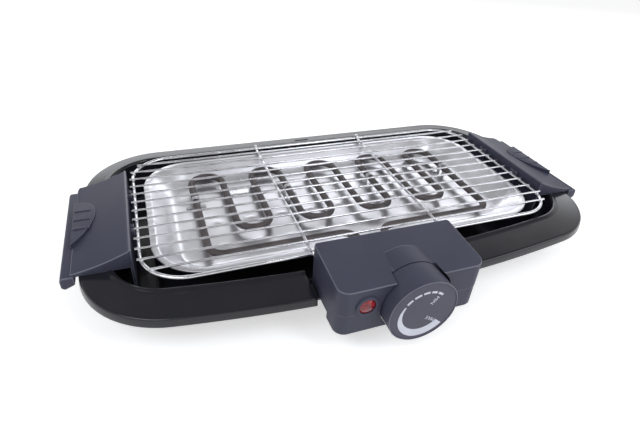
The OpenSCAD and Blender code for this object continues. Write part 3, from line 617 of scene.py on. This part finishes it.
# %% Lower shell
bottom = box_solid("grill_box_bottom", 0.2 * MM, bottom_low.z, split_z + 5 * MM, 1.2 * MM)
trim(bottom, split_z, 0.1)
step_y, step_z = tray_low.y - 0.6 * MM, 30 * MM
cut(bottom, layer(0, step_z, step_y))
cut(bottom, box_hollow(step_z + box_wall, split_z + 5 * MM))
for tool in box_tools():
    cut(bottom, tool)
bevel_edges(bottom, 0.3 * MM, 2, on_recess_edge)
smooth(bottom, 24)
even_normals(bottom)
settle(bottom, "heating_unit", "grey_plastic", "control_bottom")

# %% [markdown]
# The knob is turned on a lathe in one go: skirt, rounded rim, sunken face and
# hub. Its scale is printed, so it is a very thin piece of its own. The strokes
# are parts of rings, and the long one grows wider towards the hot end.

# %% Knob body
knob_length = knob_high.y - knob_low.y
face_depth = 0.35 * MM


def knob_profile():
    out, end = knob_radius, knob_length
    inside = out - 2.2 * MM
    profile = [(0, end - 2 * MM), (inside, end - 2 * MM), (inside, 0.3 * MM)]
    profile += [(out - 1.9 * MM, 0), (out - 0.7 * MM, 0), (out - 0.4 * MM, 0.3 * MM)]
    profile += arc(out - 0.6 * MM, end - 0.6 * MM, 0.6 * MM, 0, math.pi / 2, 5)
    profile += [(out - 1.3 * MM, end), (out - 1.6 * MM, end - face_depth), (0, end - face_depth)]
    return profile


knob_start = Vector((knob_centre.x, knob_high.y, knob_centre.z))
knob = turned("grill_knob", knob_profile(), knob_start)
smooth(knob, 30)
settle(knob, "knob", "grey_plastic", "temperature_knob")

# %% Printed scale
print_y = knob_low.y + face_depth
print_high = 0.12 * MM


def face_point(radius, degrees):
    """A point of the knob's face, with its radius in mm and its angle from +X."""
    a = math.radians(degrees)
    return (knob_centre.x + radius * MM * math.cos(a), print_y,
            knob_centre.z + radius * MM * math.sin(a))


def stroke(start, end, inner, outer, steps):
    """Part of a ring. inner and outer give the radius at each share of its length."""
    turns = [start + (end - start) * i / steps for i in range(steps + 1)]
    line = [face_point(inner(i / steps), a) for i, a in enumerate(turns)]
    line += [face_point(outer(i / steps), a) for i, a in reversed(list(enumerate(turns)))]
    return slab("stroke", line, (0, -print_high, 0))


def word(text, degrees, radius, height, reads_towards):
    """Flat letters centred on a point of the face, running along the last angle."""
    bpy.ops.object.select_all(action="DESELECT")
    bpy.ops.object.text_add()
    letters = bpy.context.active_object
    letters.data.body = text
    letters.data.size = height * MM
    letters.data.align_x = "CENTER"
    letters.data.align_y = "CENTER"
    letters.data.extrude = print_high / 2
    bpy.ops.object.convert(target="MESH")
    letters = bpy.context.active_object
    turn = Matrix.Rotation(math.radians(reads_towards), 4, "Z")
    stand = Matrix.Rotation(math.pi / 2, 4, "X")
    letters.data.transform(Matrix.Translation(face_point(radius, degrees)) @ stand @ turn)
    return letters


marks = []
for start, end in ((47, 62), (67, 81), (86, 101), (106, 123), (128, 144)):
    marks.append(stroke(start, end, lambda t: 17.9, lambda t: 19.7, 8))
marks.append(stroke(151, 318, lambda t: 17.8 - 1.3 * t,
                    lambda t: 19 + 5 * min(1, 1.6 * t), 60))
marks.append(word("MIN", 54, 12, 4.5, 234))
marks.append(word("MAX", -51, 11.1, 4.4, 147))
scale_print = join("knob_scale", marks)
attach(scale_print, "knob")
print(scale_print.name, "has", len(marks), "strokes and words")

# %% [markdown]
# The pilot lamp is a red dome in a dark ring. Both are turned pieces. The small
# steps inside a real lens, which spread its light, come later in its material.

# %% Pilot lamp
lens_radius = (lens_high.x - lens_low.x) / 2
box_front = cover_low.y
lamp_base = Vector((lamp_centre.x, box_front, lamp_centre.z))
dome_high = box_front - lens_low.y
lamp_rear = -5 * MM


def lens_profile():
    inside, outside = lens_radius - 1.2 * MM, lens_radius - 0.05 * MM
    profile = [(0, -0.8 * MM), (inside, -0.8 * MM), (inside, lamp_rear)]
    profile += [(outside, lamp_rear), (outside, 0.5 * MM)]
    for i in range(9):
        share = 1 - i / 8
        rise = 0.5 * MM + (dome_high - 0.55 * MM) * (1 - share * share)
        profile.append(((lens_radius - 0.2 * MM) * share, rise))
    return profile


def bezel_profile():
    out = (bezel_high.x - bezel_low.x) / 2
    neck = lamp_hole - 0.05 * MM
    profile = [(lens_radius, lamp_rear), (neck, lamp_rear), (neck, 0), (out, 0)]
    profile += arc(out - 0.9 * MM, 0.7 * MM, 0.85 * MM, 0, math.pi / 2, 5)
    profile += [(lens_radius + 0.3 * MM, 1.5 * MM), (lens_radius, 1.2 * MM)]
    return profile + [(lens_radius, lamp_rear)]


lens = turned("pilot_lens", lens_profile(), lamp_base, 64)
smooth(lens, 25)
settle(lens, "heating_unit", "red_lens", "lamp_lens")
bezel = turned("pilot_ring", bezel_profile(), lamp_base, 64)
smooth(bezel, 30)
settle(bezel, "heating_unit", "grey_plastic", "lamp_bezel")

# %% [markdown]
# The reflector pan is thin bright sheet. What makes it look like sheet metal is
# relief: steps along its length, rows of dimples and a slight unevenness that
# bends every reflection. So the floor is made of many rings whose points are
# raised and lowered by one function, and the sheet gets its thickness last.

# %% Pan relief
pan_low, pan_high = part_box("reflector_pan")
pan_half_x, pan_half_y = (pan_high.x - pan_low.x) / 2, (pan_high.y - pan_low.y) / 2
pan_y = (pan_low.y + pan_high.y) / 2
pan_top = pan_high.z - 0.4 * MM
pan_floor, pan_corner, sheet = 29.8 * MM, 44 * MM, 0.7 * MM
leg_pitch = 30.5 * MM
band_from, band_to, band_edge, band_high = 34 * MM, 50 * MM, 4 * MM, 1.0 * MM
dimple_rows, dimple_radius, dimple_high = (-6 * MM, -42 * MM), 3.6 * MM, 1.1 * MM
wave_high = 0.28 * MM


def soft_step(value, edge, width):
    share = max(0.0, min(1.0, (value - edge) / width + 0.5))
    return share * share * (3 - 2 * share)


def relief(x, y):
    """A raised band, two rows of dimples, and two crossing patterns of waves."""
    band = soft_step(y, band_from, band_edge) - soft_step(y, band_to, band_edge)
    rise = band_high * band
    for row in dimple_rows:
        near = round(x / leg_pitch) * leg_pitch
        if abs(near) < 4.5 * leg_pitch:
            apart = math.hypot(x - near, y - row) / dimple_radius
            rise += dimple_high * math.exp(-apart * apart * 1.5)
    waves = math.sin(x * 57) * math.sin(y * 83)
    waves += 0.6 * math.sin(x * 131 + 1) * math.sin(y * 151 + 2)
    return rise + wave_high * waves


def pan_ring(inset, height, raised):
    """One ring of the pan. raised says how much of the relief it takes on."""
    hx, hy = pan_half_x - inset, pan_half_y - inset
    r = max(pan_corner - inset, 2 * MM)
    half_pi = math.pi / 2
    corners = ((hx - r, hy - r, 0), (r - hx, hy - r, 1), (r - hx, r - hy, 2), (hx - r, r - hy, 3))
    ring = []
    for index, (cx, cy, quarter) in enumerate(corners):
        bend = arc(cx, cy, r, quarter * half_pi, (quarter + 1) * half_pi, 12)
        ring += bend
        nx, ny = corners[(index + 1) % 4][:2]
        following = arc(nx, ny, r, (quarter + 1) * half_pi, (quarter + 2) * half_pi, 12)[0]
        steps = 60 if index % 2 == 0 else 26
        for i in range(1, steps):
            share = i / steps
            ring.append((bend[-1][0] + (following[0] - bend[-1][0]) * share,
                         bend[-1][1] + (following[1] - bend[-1][1]) * share))
    return [(x, y + pan_y, height + raised * relief(x, y)) for x, y in ring]


# %% Pan sheet
rim_profile = [(0.5, -1.6), (0.5, -0.5), (0.8, -0.1), (1.3, 0), (5.0, 0), (5.9, -0.15), (6.7, -0.8)]
wall_profile = [(11, 0.26), (17, 0.62), (22.6, 0.93), (24.6, 0.985)]
depth = pan_top - pan_floor
pan_rings = [pan_ring(a * MM, pan_top + b * MM, 0) for a, b in rim_profile]
pan_rings += [pan_ring(a * MM, pan_top - share * depth, 0.25 * share) for a, share in wall_profile]
print("the pan is", round(depth / MM, 1), "mm deep")
floor_steps = 42
for i in range(floor_steps + 1):
    inset = 27 * MM + (pan_half_y - 30 * MM) * i / floor_steps
    pan_rings.append(pan_ring(inset, pan_floor, min(1.0, i / 3)))
pan = loft("grill_pan", pan_rings, closed_ends=False)

# %% [markdown]
# The innermost ring is still open. One face closes it, and if the sheet has come
# out with its faces down it is turned over, so that the thickness goes below.

# %% Closing and thickening the sheet
select_nothing(pan)
inner_edge = {Vector(p).to_tuple(5) for p in pan_rings[-1]}
for vertex in pan.data.vertices:
    vertex.select = vertex.co.to_tuple(5) in inner_edge
bpy.ops.object.mode_set(mode="EDIT")
bpy.ops.mesh.select_mode(type="VERT")
bpy.ops.mesh.edge_face_add()
bpy.ops.object.mode_set(mode="OBJECT")
up_faces = sum(face.normal.z * face.area for face in pan.data.polygons)
if up_faces < 0:
    pan.data.flip_normals()
apply_modifier(pan, "SOLIDIFY", thickness=sheet, offset=-1)
notch_left, notch_right, notch_floor = -17 * MM, 21 * MM, 32.75 * MM
cut(pan, block("notch_tool", (notch_left, pan_low.y - MM, notch_floor),
               (notch_right, pan_low.y + 17 * MM, 60 * MM)))
smooth(pan, 40)
settle(pan, "heating_unit", "bright_aluminium", "reflector_pan")

# %% [markdown]
# Every crossing of the grate is spot-welded, which leaves a small bright lump.
# The lumps are what makes a wire grate look welded rather than drawn. Each one
# is a small flattened ball, and all of them are joined into one piece.

# %% Weld lumps
bars_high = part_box("grate_cross_bars")[1]
frame_wire_r, bar_wire_r, rod_count = 1.6 * MM, 1.4 * MM, 13
rod_pitch = (grate_high.y - grate_low.y - 2 * frame_wire_r) / (rod_count + 1)
weld_z = grate_high.z - 0.1 * MM
frame_side = grate_high.x - frame_wire_r
corner_r = 36 * MM
grate_half_y = (grate_high.y - grate_low.y) / 2 - frame_wire_r
bar_x = bars_high.x - bar_wire_r


def weld(x, y, size):
    bpy.ops.object.select_all(action="DESELECT")
    bpy.ops.mesh.primitive_uv_sphere_add(segments=12, ring_count=8, radius=size,
                                         location=(x, y, weld_z))
    lump = bpy.context.active_object
    lump.scale = (1.25, 1, 0.7)
    bpy.ops.object.transform_apply(location=True, rotation=True, scale=True)
    return lump


lumps = []
for row in range(1, rod_count + 1):
    y = grate_half_y - row * rod_pitch
    in_corner = max(0, abs(y) - (grate_half_y - corner_r))
    frame_x = frame_side - corner_r + math.sqrt(corner_r ** 2 - in_corner ** 2)
    for side in (-1, 1):
        lumps.append(weld(side * frame_x, y + middle_y, 1.35 * MM))
        lumps.append(weld(side * bar_x, y + middle_y, 1.3 * MM))
welds = join("grate_welds", lumps)
smooth(welds, 60)
settle(welds, "grate", "chrome_wire")


# %% [markdown]
# Now the finishes. Some effects belong to more than one of them: the fine grain
# that a mould leaves, and the fine lines that rolling and drawing leave in metal.
# Each effect is a node group with named inputs, built once. The shader itself
# stays in each material, because that is what other programs can read.

# %% Shared effects
def effect(name, inputs, outputs):
    tree = bpy.data.node_groups.new(name, "ShaderNodeTree")
    for label, value in inputs:
        socket = tree.interface.new_socket(name=label, in_out="INPUT",
                                           socket_type="NodeSocketFloat")
        socket.default_value = value
    for label, kind in outputs:
        tree.interface.new_socket(name=label, in_out="OUTPUT", socket_type=kind)
    return tree, tree.nodes.new("NodeGroupInput"), tree.nodes.new("NodeGroupOutput")


def ramp(tree, source, low, high, to_low=0.0, to_high=1.0):
    node = tree.nodes.new("ShaderNodeMapRange")
    for label, value in (("From Min", low), ("From Max", high),
                         ("To Min", to_low), ("To Max", to_high)):
        node.inputs[label].default_value = value
    tree.links.new(source, node.inputs["Value"])
    return node.outputs["Result"]


def noise(tree, place, detail, scale=None):
    """Noise over a vector, spread to its whole range. Its scale is a socket, or 1."""
    node = tree.nodes.new("ShaderNodeTexNoise")
    node.inputs["Detail"].default_value = detail
    tree.links.new(place, node.inputs["Vector"])
    if scale is None:
        node.inputs["Scale"].default_value = 1
    else:
        tree.links.new(scale, node.inputs["Scale"])
    return ramp(tree, node.outputs["Fac"], 0.3, 0.7)


def make_grain():
    tree, source, result = effect("mould_grain", (("Grain Size", 1400), ("Cloud Size", 45)),
                                  (("Height", "NodeSocketFloat"), ("Clouds", "NodeSocketFloat")))
    place = tree.nodes.new("ShaderNodeTexCoord").outputs["Object"]
    for label, detail, output in (("Grain Size", 3, "Height"), ("Cloud Size", 4, "Clouds")):
        tree.links.new(noise(tree, place, detail, source.outputs[label]), result.inputs[output])
    return tree


def make_streaks():
    tree, source, result = effect("metal_streaks",
                                  (("Along", 6), ("Across", 900), ("Cloud Size", 30)),
                                  (("Height", "NodeSocketFloat"), ("Clouds", "NodeSocketFloat")))
    place = tree.nodes.new("ShaderNodeTexCoord").outputs["Object"]
    stretch = tree.nodes.new("ShaderNodeCombineXYZ")
    for axis, label in (("X", "Along"), ("Y", "Across"), ("Z", "Across")):
        tree.links.new(source.outputs[label], stretch.inputs[axis])
    scaled = tree.nodes.new("ShaderNodeVectorMath")
    scaled.operation = "MULTIPLY"
    tree.links.new(place, scaled.inputs[0])
    tree.links.new(stretch.outputs["Vector"], scaled.inputs[1])
    tree.links.new(noise(tree, scaled.outputs["Vector"], 3), result.inputs["Height"])
    clouds = noise(tree, place, 4, source.outputs["Cloud Size"])
    tree.links.new(clouds, result.inputs["Clouds"])
    return tree


mould_grain, metal_streaks = make_grain(), make_streaks()
print("shared effects:", mould_grain.name, "and", metal_streaks.name)


# %% [markdown]
# A finish is one Principled shader. Its colour drifts a little between two close
# shades, its roughness drifts with the same clouds, and the grain or the lines
# raise the surface through a Bump node. What is the same all over, such as the
# metalness, is set straight on the shader.

# %% A finish
def finish(name, surface, dark, pale, rough, bump, pattern, **plain):
    """rough is the roughness from dark to pale, and bump is its strength and its depth in
    mm. pattern sets the inputs of the shared effect, and plain the shader's own sockets."""
    material = bpy.data.materials.new(name)
    material.use_nodes = True
    tree = material.node_tree
    shader = tree.nodes["Principled BSDF"]
    effect_node = tree.nodes.new("ShaderNodeGroup")
    effect_node.node_tree = surface
    for label, value in pattern.items():
        effect_node.inputs[label].default_value = value
    shades = tree.nodes.new("ShaderNodeMix")
    shades.data_type = "RGBA"
    shades.inputs["A"].default_value = (*dark, 1)
    shades.inputs["B"].default_value = (*pale, 1)
    tree.links.new(effect_node.outputs["Clouds"], shades.inputs["Factor"])
    tree.links.new(shades.outputs["Result"], shader.inputs["Base Color"])
    tree.links.new(ramp(tree, effect_node.outputs["Clouds"], 0, 1, *rough),
                   shader.inputs["Roughness"])
    relief_node = tree.nodes.new("ShaderNodeBump")
    relief_node.inputs["Strength"].default_value = bump[0]
    relief_node.inputs["Distance"].default_value = bump[1] * MM
    tree.links.new(effect_node.outputs["Height"], relief_node.inputs["Height"])
    tree.links.new(relief_node.outputs["Normal"], shader.inputs["Normal"])
    for label, value in plain.items():
        shader.inputs[label.replace("_", " ")].default_value = value
    return material


# %% [markdown]
# The plastics: matte dark grey for the handles and the box, glossy black for
# the tray, black rubber for the feet, pale print, and a plain colour of
# insulation for each wire. The bevels of the matte pieces get a smoother finish
# with less grain than their faces, and a paler colour that is a painted highlight along the edges.

# %% Plastics
matte_grey = finish("matte_grey_plastic", mould_grain,
                    (0.043, 0.046, 0.073), (0.053, 0.056, 0.087),
                    (0.46, 0.56), (0.35, 0.05), {"Grain Size": 1700, "Cloud Size": 30},
                    Specular_IOR_Level=0.3)
# Paler colour for the bevels: a painted highlight along the edges, with less roughness and grain.
painted_edge_highlight = finish("painted_edge_highlight", mould_grain, (0.10, 0.105, 0.14), (0.13, 0.135, 0.17),
                       (0.32, 0.4), (0.1, 0.02), {"Grain Size": 1700, "Cloud Size": 30})
tray_black = finish("glossy_black_plastic", mould_grain,
                    (0.010, 0.010, 0.014), (0.015, 0.015, 0.020), (0.14, 0.2),
                    (0.02, 0.05), {"Grain Size": 60, "Cloud Size": 22},
                    Specular_IOR_Level=0.45)
knob_face = finish("knob_face_plastic", mould_grain, (0.052, 0.051, 0.082), (0.062, 0.060, 0.096),
                   (0.4, 0.5), (0.25, 0.04), {"Grain Size": 2000, "Cloud Size": 60},
                   Specular_IOR_Level=0.4)
black_rubber = finish("black_rubber", mould_grain, (0.012, 0.012, 0.012), (0.022, 0.022, 0.022),
                      (0.7, 0.85), (0.5, 0.08), {"Grain Size": 900, "Cloud Size": 60})
pale_print = finish("pale_print", mould_grain, (0.66, 0.68, 0.78), (0.76, 0.78, 0.86),
                    (0.5, 0.6), (0.1, 0.02), {"Grain Size": 1500, "Cloud Size": 120})
off_white_block = finish("ceramic_block", mould_grain, (0.74, 0.72, 0.66), (0.84, 0.82, 0.76),
                         (0.35, 0.5), (0.3, 0.06), {"Grain Size": 700, "Cloud Size": 80})


def insulation(name, colour):
    dark = [c * 0.85 for c in colour]
    return finish(name, mould_grain, dark, colour, (0.38, 0.5), (0.2, 0.04),
                  {"Grain Size": 900, "Cloud Size": 150})


# %% [markdown]
# The metals: bright rolled sheet for the pan, bright plated wire for the grate,
# a dark oxidised sheath on the element, plain steel and brass. The element's
# sheath has large soft clouds, because heat stains it unevenly.

# %% Metals
pan_sheet = finish("bright_sheet", metal_streaks, (0.8, 0.8, 0.84), (0.93, 0.93, 0.96),
                   (0.26, 0.38), (0.16, 0.06), {"Along": 10, "Across": 420, "Cloud Size": 22},
                   Metallic=1)
plated_wire = finish("bright_wire", metal_streaks, (0.62, 0.62, 0.65), (0.8, 0.8, 0.83),
                     (0.16, 0.28), (0.1, 0.03), {"Along": 60, "Across": 800, "Cloud Size": 90},
                     Metallic=1)
dark_sheath = finish("dark_sheath", mould_grain, (0.062, 0.054, 0.056), (0.13, 0.112, 0.112),
                     (0.4, 0.58), (0.35, 0.05), {"Grain Size": 1100, "Cloud Size": 55},
                     Metallic=0.35)
fine_lines = {"Along": 80, "Across": 900, "Cloud Size": 90}
plain_steel = finish("plain_steel", metal_streaks, (0.42, 0.42, 0.44), (0.58, 0.58, 0.6),
                     (0.28, 0.42), (0.15, 0.03), fine_lines, Metallic=1)
plain_brass = finish("plain_brass", metal_streaks, (0.6, 0.45, 0.2), (0.78, 0.6, 0.28),
                     (0.28, 0.42), (0.15, 0.03), fine_lines, Metallic=1)

# %% [markdown]
# The lamp's lens is clear red plastic over a dark hollow. Steps moulded inside
# it catch light, and that light is painted into its colour as paler patches, while the steps
# themselves are a bump.
# A cell pattern gives both, so the lens gets a material of its own, as the lamp's glass does.

# %% Lens and glass
clear_red = bpy.data.materials.new("clear_red_lens")
clear_red.use_nodes = True
lens_tree = clear_red.node_tree
lens_shader = lens_tree.nodes["Principled BSDF"]
lens_place = lens_tree.nodes.new("ShaderNodeTexCoord")
cells = lens_tree.nodes.new("ShaderNodeTexVoronoi")
cells.inputs["Scale"].default_value = 240
lens_tree.links.new(lens_place.outputs["Object"], cells.inputs["Vector"])
# The paler patches in the lens colour are painted glints of the light in its steps.
step_glint_paint = lens_tree.nodes.new("ShaderNodeMix")
step_glint_paint.data_type = "RGBA"
step_glint_paint.inputs["A"].default_value = (0.44, 0.016, 0.025, 1)
step_glint_paint.inputs["B"].default_value = (0.13, 0.003, 0.008, 1)
lens_tree.links.new(ramp(lens_tree, cells.outputs["Distance"], 0.1, 0.75),
                    step_glint_paint.inputs["Factor"])
lens_tree.links.new(step_glint_paint.outputs["Result"], lens_shader.inputs["Base Color"])
lens_bump = lens_tree.nodes.new("ShaderNodeBump")
lens_bump.inputs["Strength"].default_value = 0.25
lens_bump.inputs["Distance"].default_value = 0.3 * MM
lens_tree.links.new(cells.outputs["Distance"], lens_bump.inputs["Height"])
lens_tree.links.new(lens_bump.outputs["Normal"], lens_shader.inputs["Normal"])
lens_shader.inputs["Roughness"].default_value = 0.16
lens_shader.inputs["Coat Weight"].default_value = 0.2

clear_glass = finish("clear_glass", mould_grain, (0.92, 0.86, 0.8), (0.96, 0.92, 0.88),
                     (0.03, 0.07), (0.05, 0.03), {"Grain Size": 300, "Cloud Size": 60},
                     Transmission_Weight=0.9)

# %% [markdown]
# Each slot of the part's record gets its finish. Engineering pieces whose shape
# is right stay in view and only change their material. A face belongs to an edge,
# and gets the painted edge highlight, when it is narrow. Its area over its longest side tells how
# wide it is.

# %% Give every surface its finish
finish_of = {
    "gloss_black_plastic": tray_black, "grey_plastic": matte_grey, "steel": plain_steel,
    "rubber": black_rubber, "bright_aluminium": pan_sheet, "element_sheath": dark_sheath,
    "red_lens": clear_red, "lamp_glass": clear_glass, "brass": plain_brass,
    "ceramic": off_white_block, "chrome_wire": plated_wire,
    "wire_brown": insulation("brown_insulation", (0.2, 0.08, 0.03)),
    "wire_blue": insulation("blue_insulation", (0.05, 0.12, 0.35)),
    "wire_yellow": insulation("yellow_insulation", (0.7, 0.5, 0.05)),
    "wire_green": insulation("green_insulation", (0.2, 0.45, 0.08)),
}


def paint(obj, material):
    obj.data.materials.clear()
    obj.data.materials.append(material)
    for face in obj.data.polygons:
        face.material_index = 0


def paint_edge_highlights(obj, widest):
    """The narrow faces of a bevel get a smoother finish and a paler colour, a painted highlight
    along the edge.
    """
    obj.data.materials.append(painted_edge_highlight)
    for face in obj.data.polygons:
        corners = [obj.data.vertices[i].co for i in face.vertices]
        longest = max((a - b).length for a, b in zip(corners, corners[1:] + corners[:1]))
        if face.area / longest < widest:
            face.material_index = len(obj.data.materials) - 1


for row in frame["record"]["subparts"]:
    piece = nodes[row["node"]]
    for holder in piece.material_slots:
        holder.material = finish_of[row["material_slot"]]
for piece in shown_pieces():
    if "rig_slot" in piece and not piece.get("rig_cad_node"):
        paint(piece, finish_of[piece["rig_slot"]])
# The narrow bevel faces of the box shells and the handles get the painted edge highlight.
for piece in (cover, bottom, *handles):
    paint_edge_highlights(piece, 0.45 * MM)
paint(scale_print, pale_print)
knob.data.materials.append(knob_face)
face_radius = knob_radius - 1.5 * MM
for face in knob.data.polygons:
    out = math.hypot(face.center.x - knob_centre.x, face.center.z - knob_centre.z)
    if face.normal.y < -0.9 and out < face_radius:
        face.material_index = len(knob.data.materials) - 1
# The knob's rounded rim gets the painted edge highlight too.
paint_edge_highlights(knob, 0.3 * MM)

# %% [markdown]
# The studio is a pale floor, a white world and four soft lamps. The floor and
# the world look white to the camera and in reflections, but light the grill only
# moderately, so that every colour comes out about as it is mixed. Reflections
# from straight above are darker, as under a real ceiling, which keeps the pan
# from washing out.

# %% Floor
bpy.ops.object.select_all(action="DESELECT")
bpy.ops.mesh.primitive_plane_add(size=8, location=(0, 0, -0.2 * MM))
floor = bpy.context.active_object
floor.name = "floor"
floor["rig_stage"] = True
floor_white = bpy.data.materials.new("floor_white")
floor_white.use_nodes = True
floor_tree = floor_white.node_tree
floor_shader = floor_tree.nodes["Principled BSDF"]
floor_shader.inputs["Base Color"].default_value = (0.8, 0.8, 0.8, 1)
floor_shader.inputs["Roughness"].default_value = 0.9
floor_shader.inputs["Specular IOR Level"].default_value = 0
floor_shader.inputs["Emission Color"].default_value = (1, 1, 1, 1)


def seen(tree):
    """1 for what the camera, a reflection or clear glass sees, and 0 for what lights the grill."""
    path = tree.nodes.new("ShaderNodeLightPath")
    total = path.outputs["Is Camera Ray"]
    for label in ("Is Glossy Ray", "Is Transmission Ray"):
        larger = tree.nodes.new("ShaderNodeMath")
        larger.operation = "MAXIMUM"
        tree.links.new(total, larger.inputs[0])
        tree.links.new(path.outputs[label], larger.inputs[1])
        total = larger.outputs["Value"]
    return total


floor_tree.links.new(ramp(floor_tree, seen(floor_tree), 0, 1, 0, 0.55),
                     floor_shader.inputs["Emission Strength"])
floor.data.materials.append(floor_white)

# %% World
world = bpy.data.worlds.new("studio")
bpy.context.scene.world = world
world.use_nodes = True
world_tree = world.node_tree
sky = world_tree.nodes["Background"]
sky.inputs["Color"].default_value = (1, 1, 1, 1)
heading = world_tree.nodes.new("ShaderNodeTexCoord")
heading_parts = world_tree.nodes.new("ShaderNodeSeparateXYZ")
world_tree.links.new(heading.outputs["Generated"], heading_parts.inputs["Vector"])
white_up_to, dark_from, white, dark = 0.41, 0.64, 0.95, 0.32
ceiling = ramp(world_tree, heading_parts.outputs["Z"], white_up_to, dark_from, white, dark)
strength = world_tree.nodes.new("ShaderNodeMix")
strength.inputs["A"].default_value = 0.45
world_tree.links.new(seen(world_tree), strength.inputs["Factor"])
world_tree.links.new(ceiling, strength.inputs["B"])
world_tree.links.new(strength.outputs["Result"], sky.inputs["Strength"])


# %% Lamps
def soft_lamp(name, place, size, power):
    data = bpy.data.lights.new(name, "AREA")
    data.shape = "RECTANGLE"
    data.size, data.size_y = size
    data.energy = power
    data.color = (0.93, 0.95, 1.0)
    lamp = bpy.data.objects.new(name, data)
    bpy.context.scene.collection.objects.link(lamp)
    lamp.location = place
    aim = Vector((0, 0, 0.04)) - Vector(place)
    lamp.rotation_euler = aim.to_track_quat("-Z", "Y").to_euler()
    print(name, "stands", round(aim.length, 2), "m away")


soft_lamp("key_lamp", (-0.8, -0.5, 1.1), (0.9, 0.6), 6)
soft_lamp("fill_lamp", (1.0, -0.7, 0.7), (0.7, 0.5), 2.5)
soft_lamp("back_lamp", (0.45, 1.15, 0.6), (2.2, 0.3), 4.5)
soft_lamp("edge_lamp", (0.45, -0.8, 1.07), (0.3, 0.6), 4)

# %% [markdown]
# Last comes the size. The largest difference between the box that the dressed
# grill fills and the engineering model's box is printed.

# %% Size
low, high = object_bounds()
worst = max(abs(c) for c in (*(low - cad_low), *(high - cad_high)))
print("differs by at most", round(worst / MM, 2), "mm")
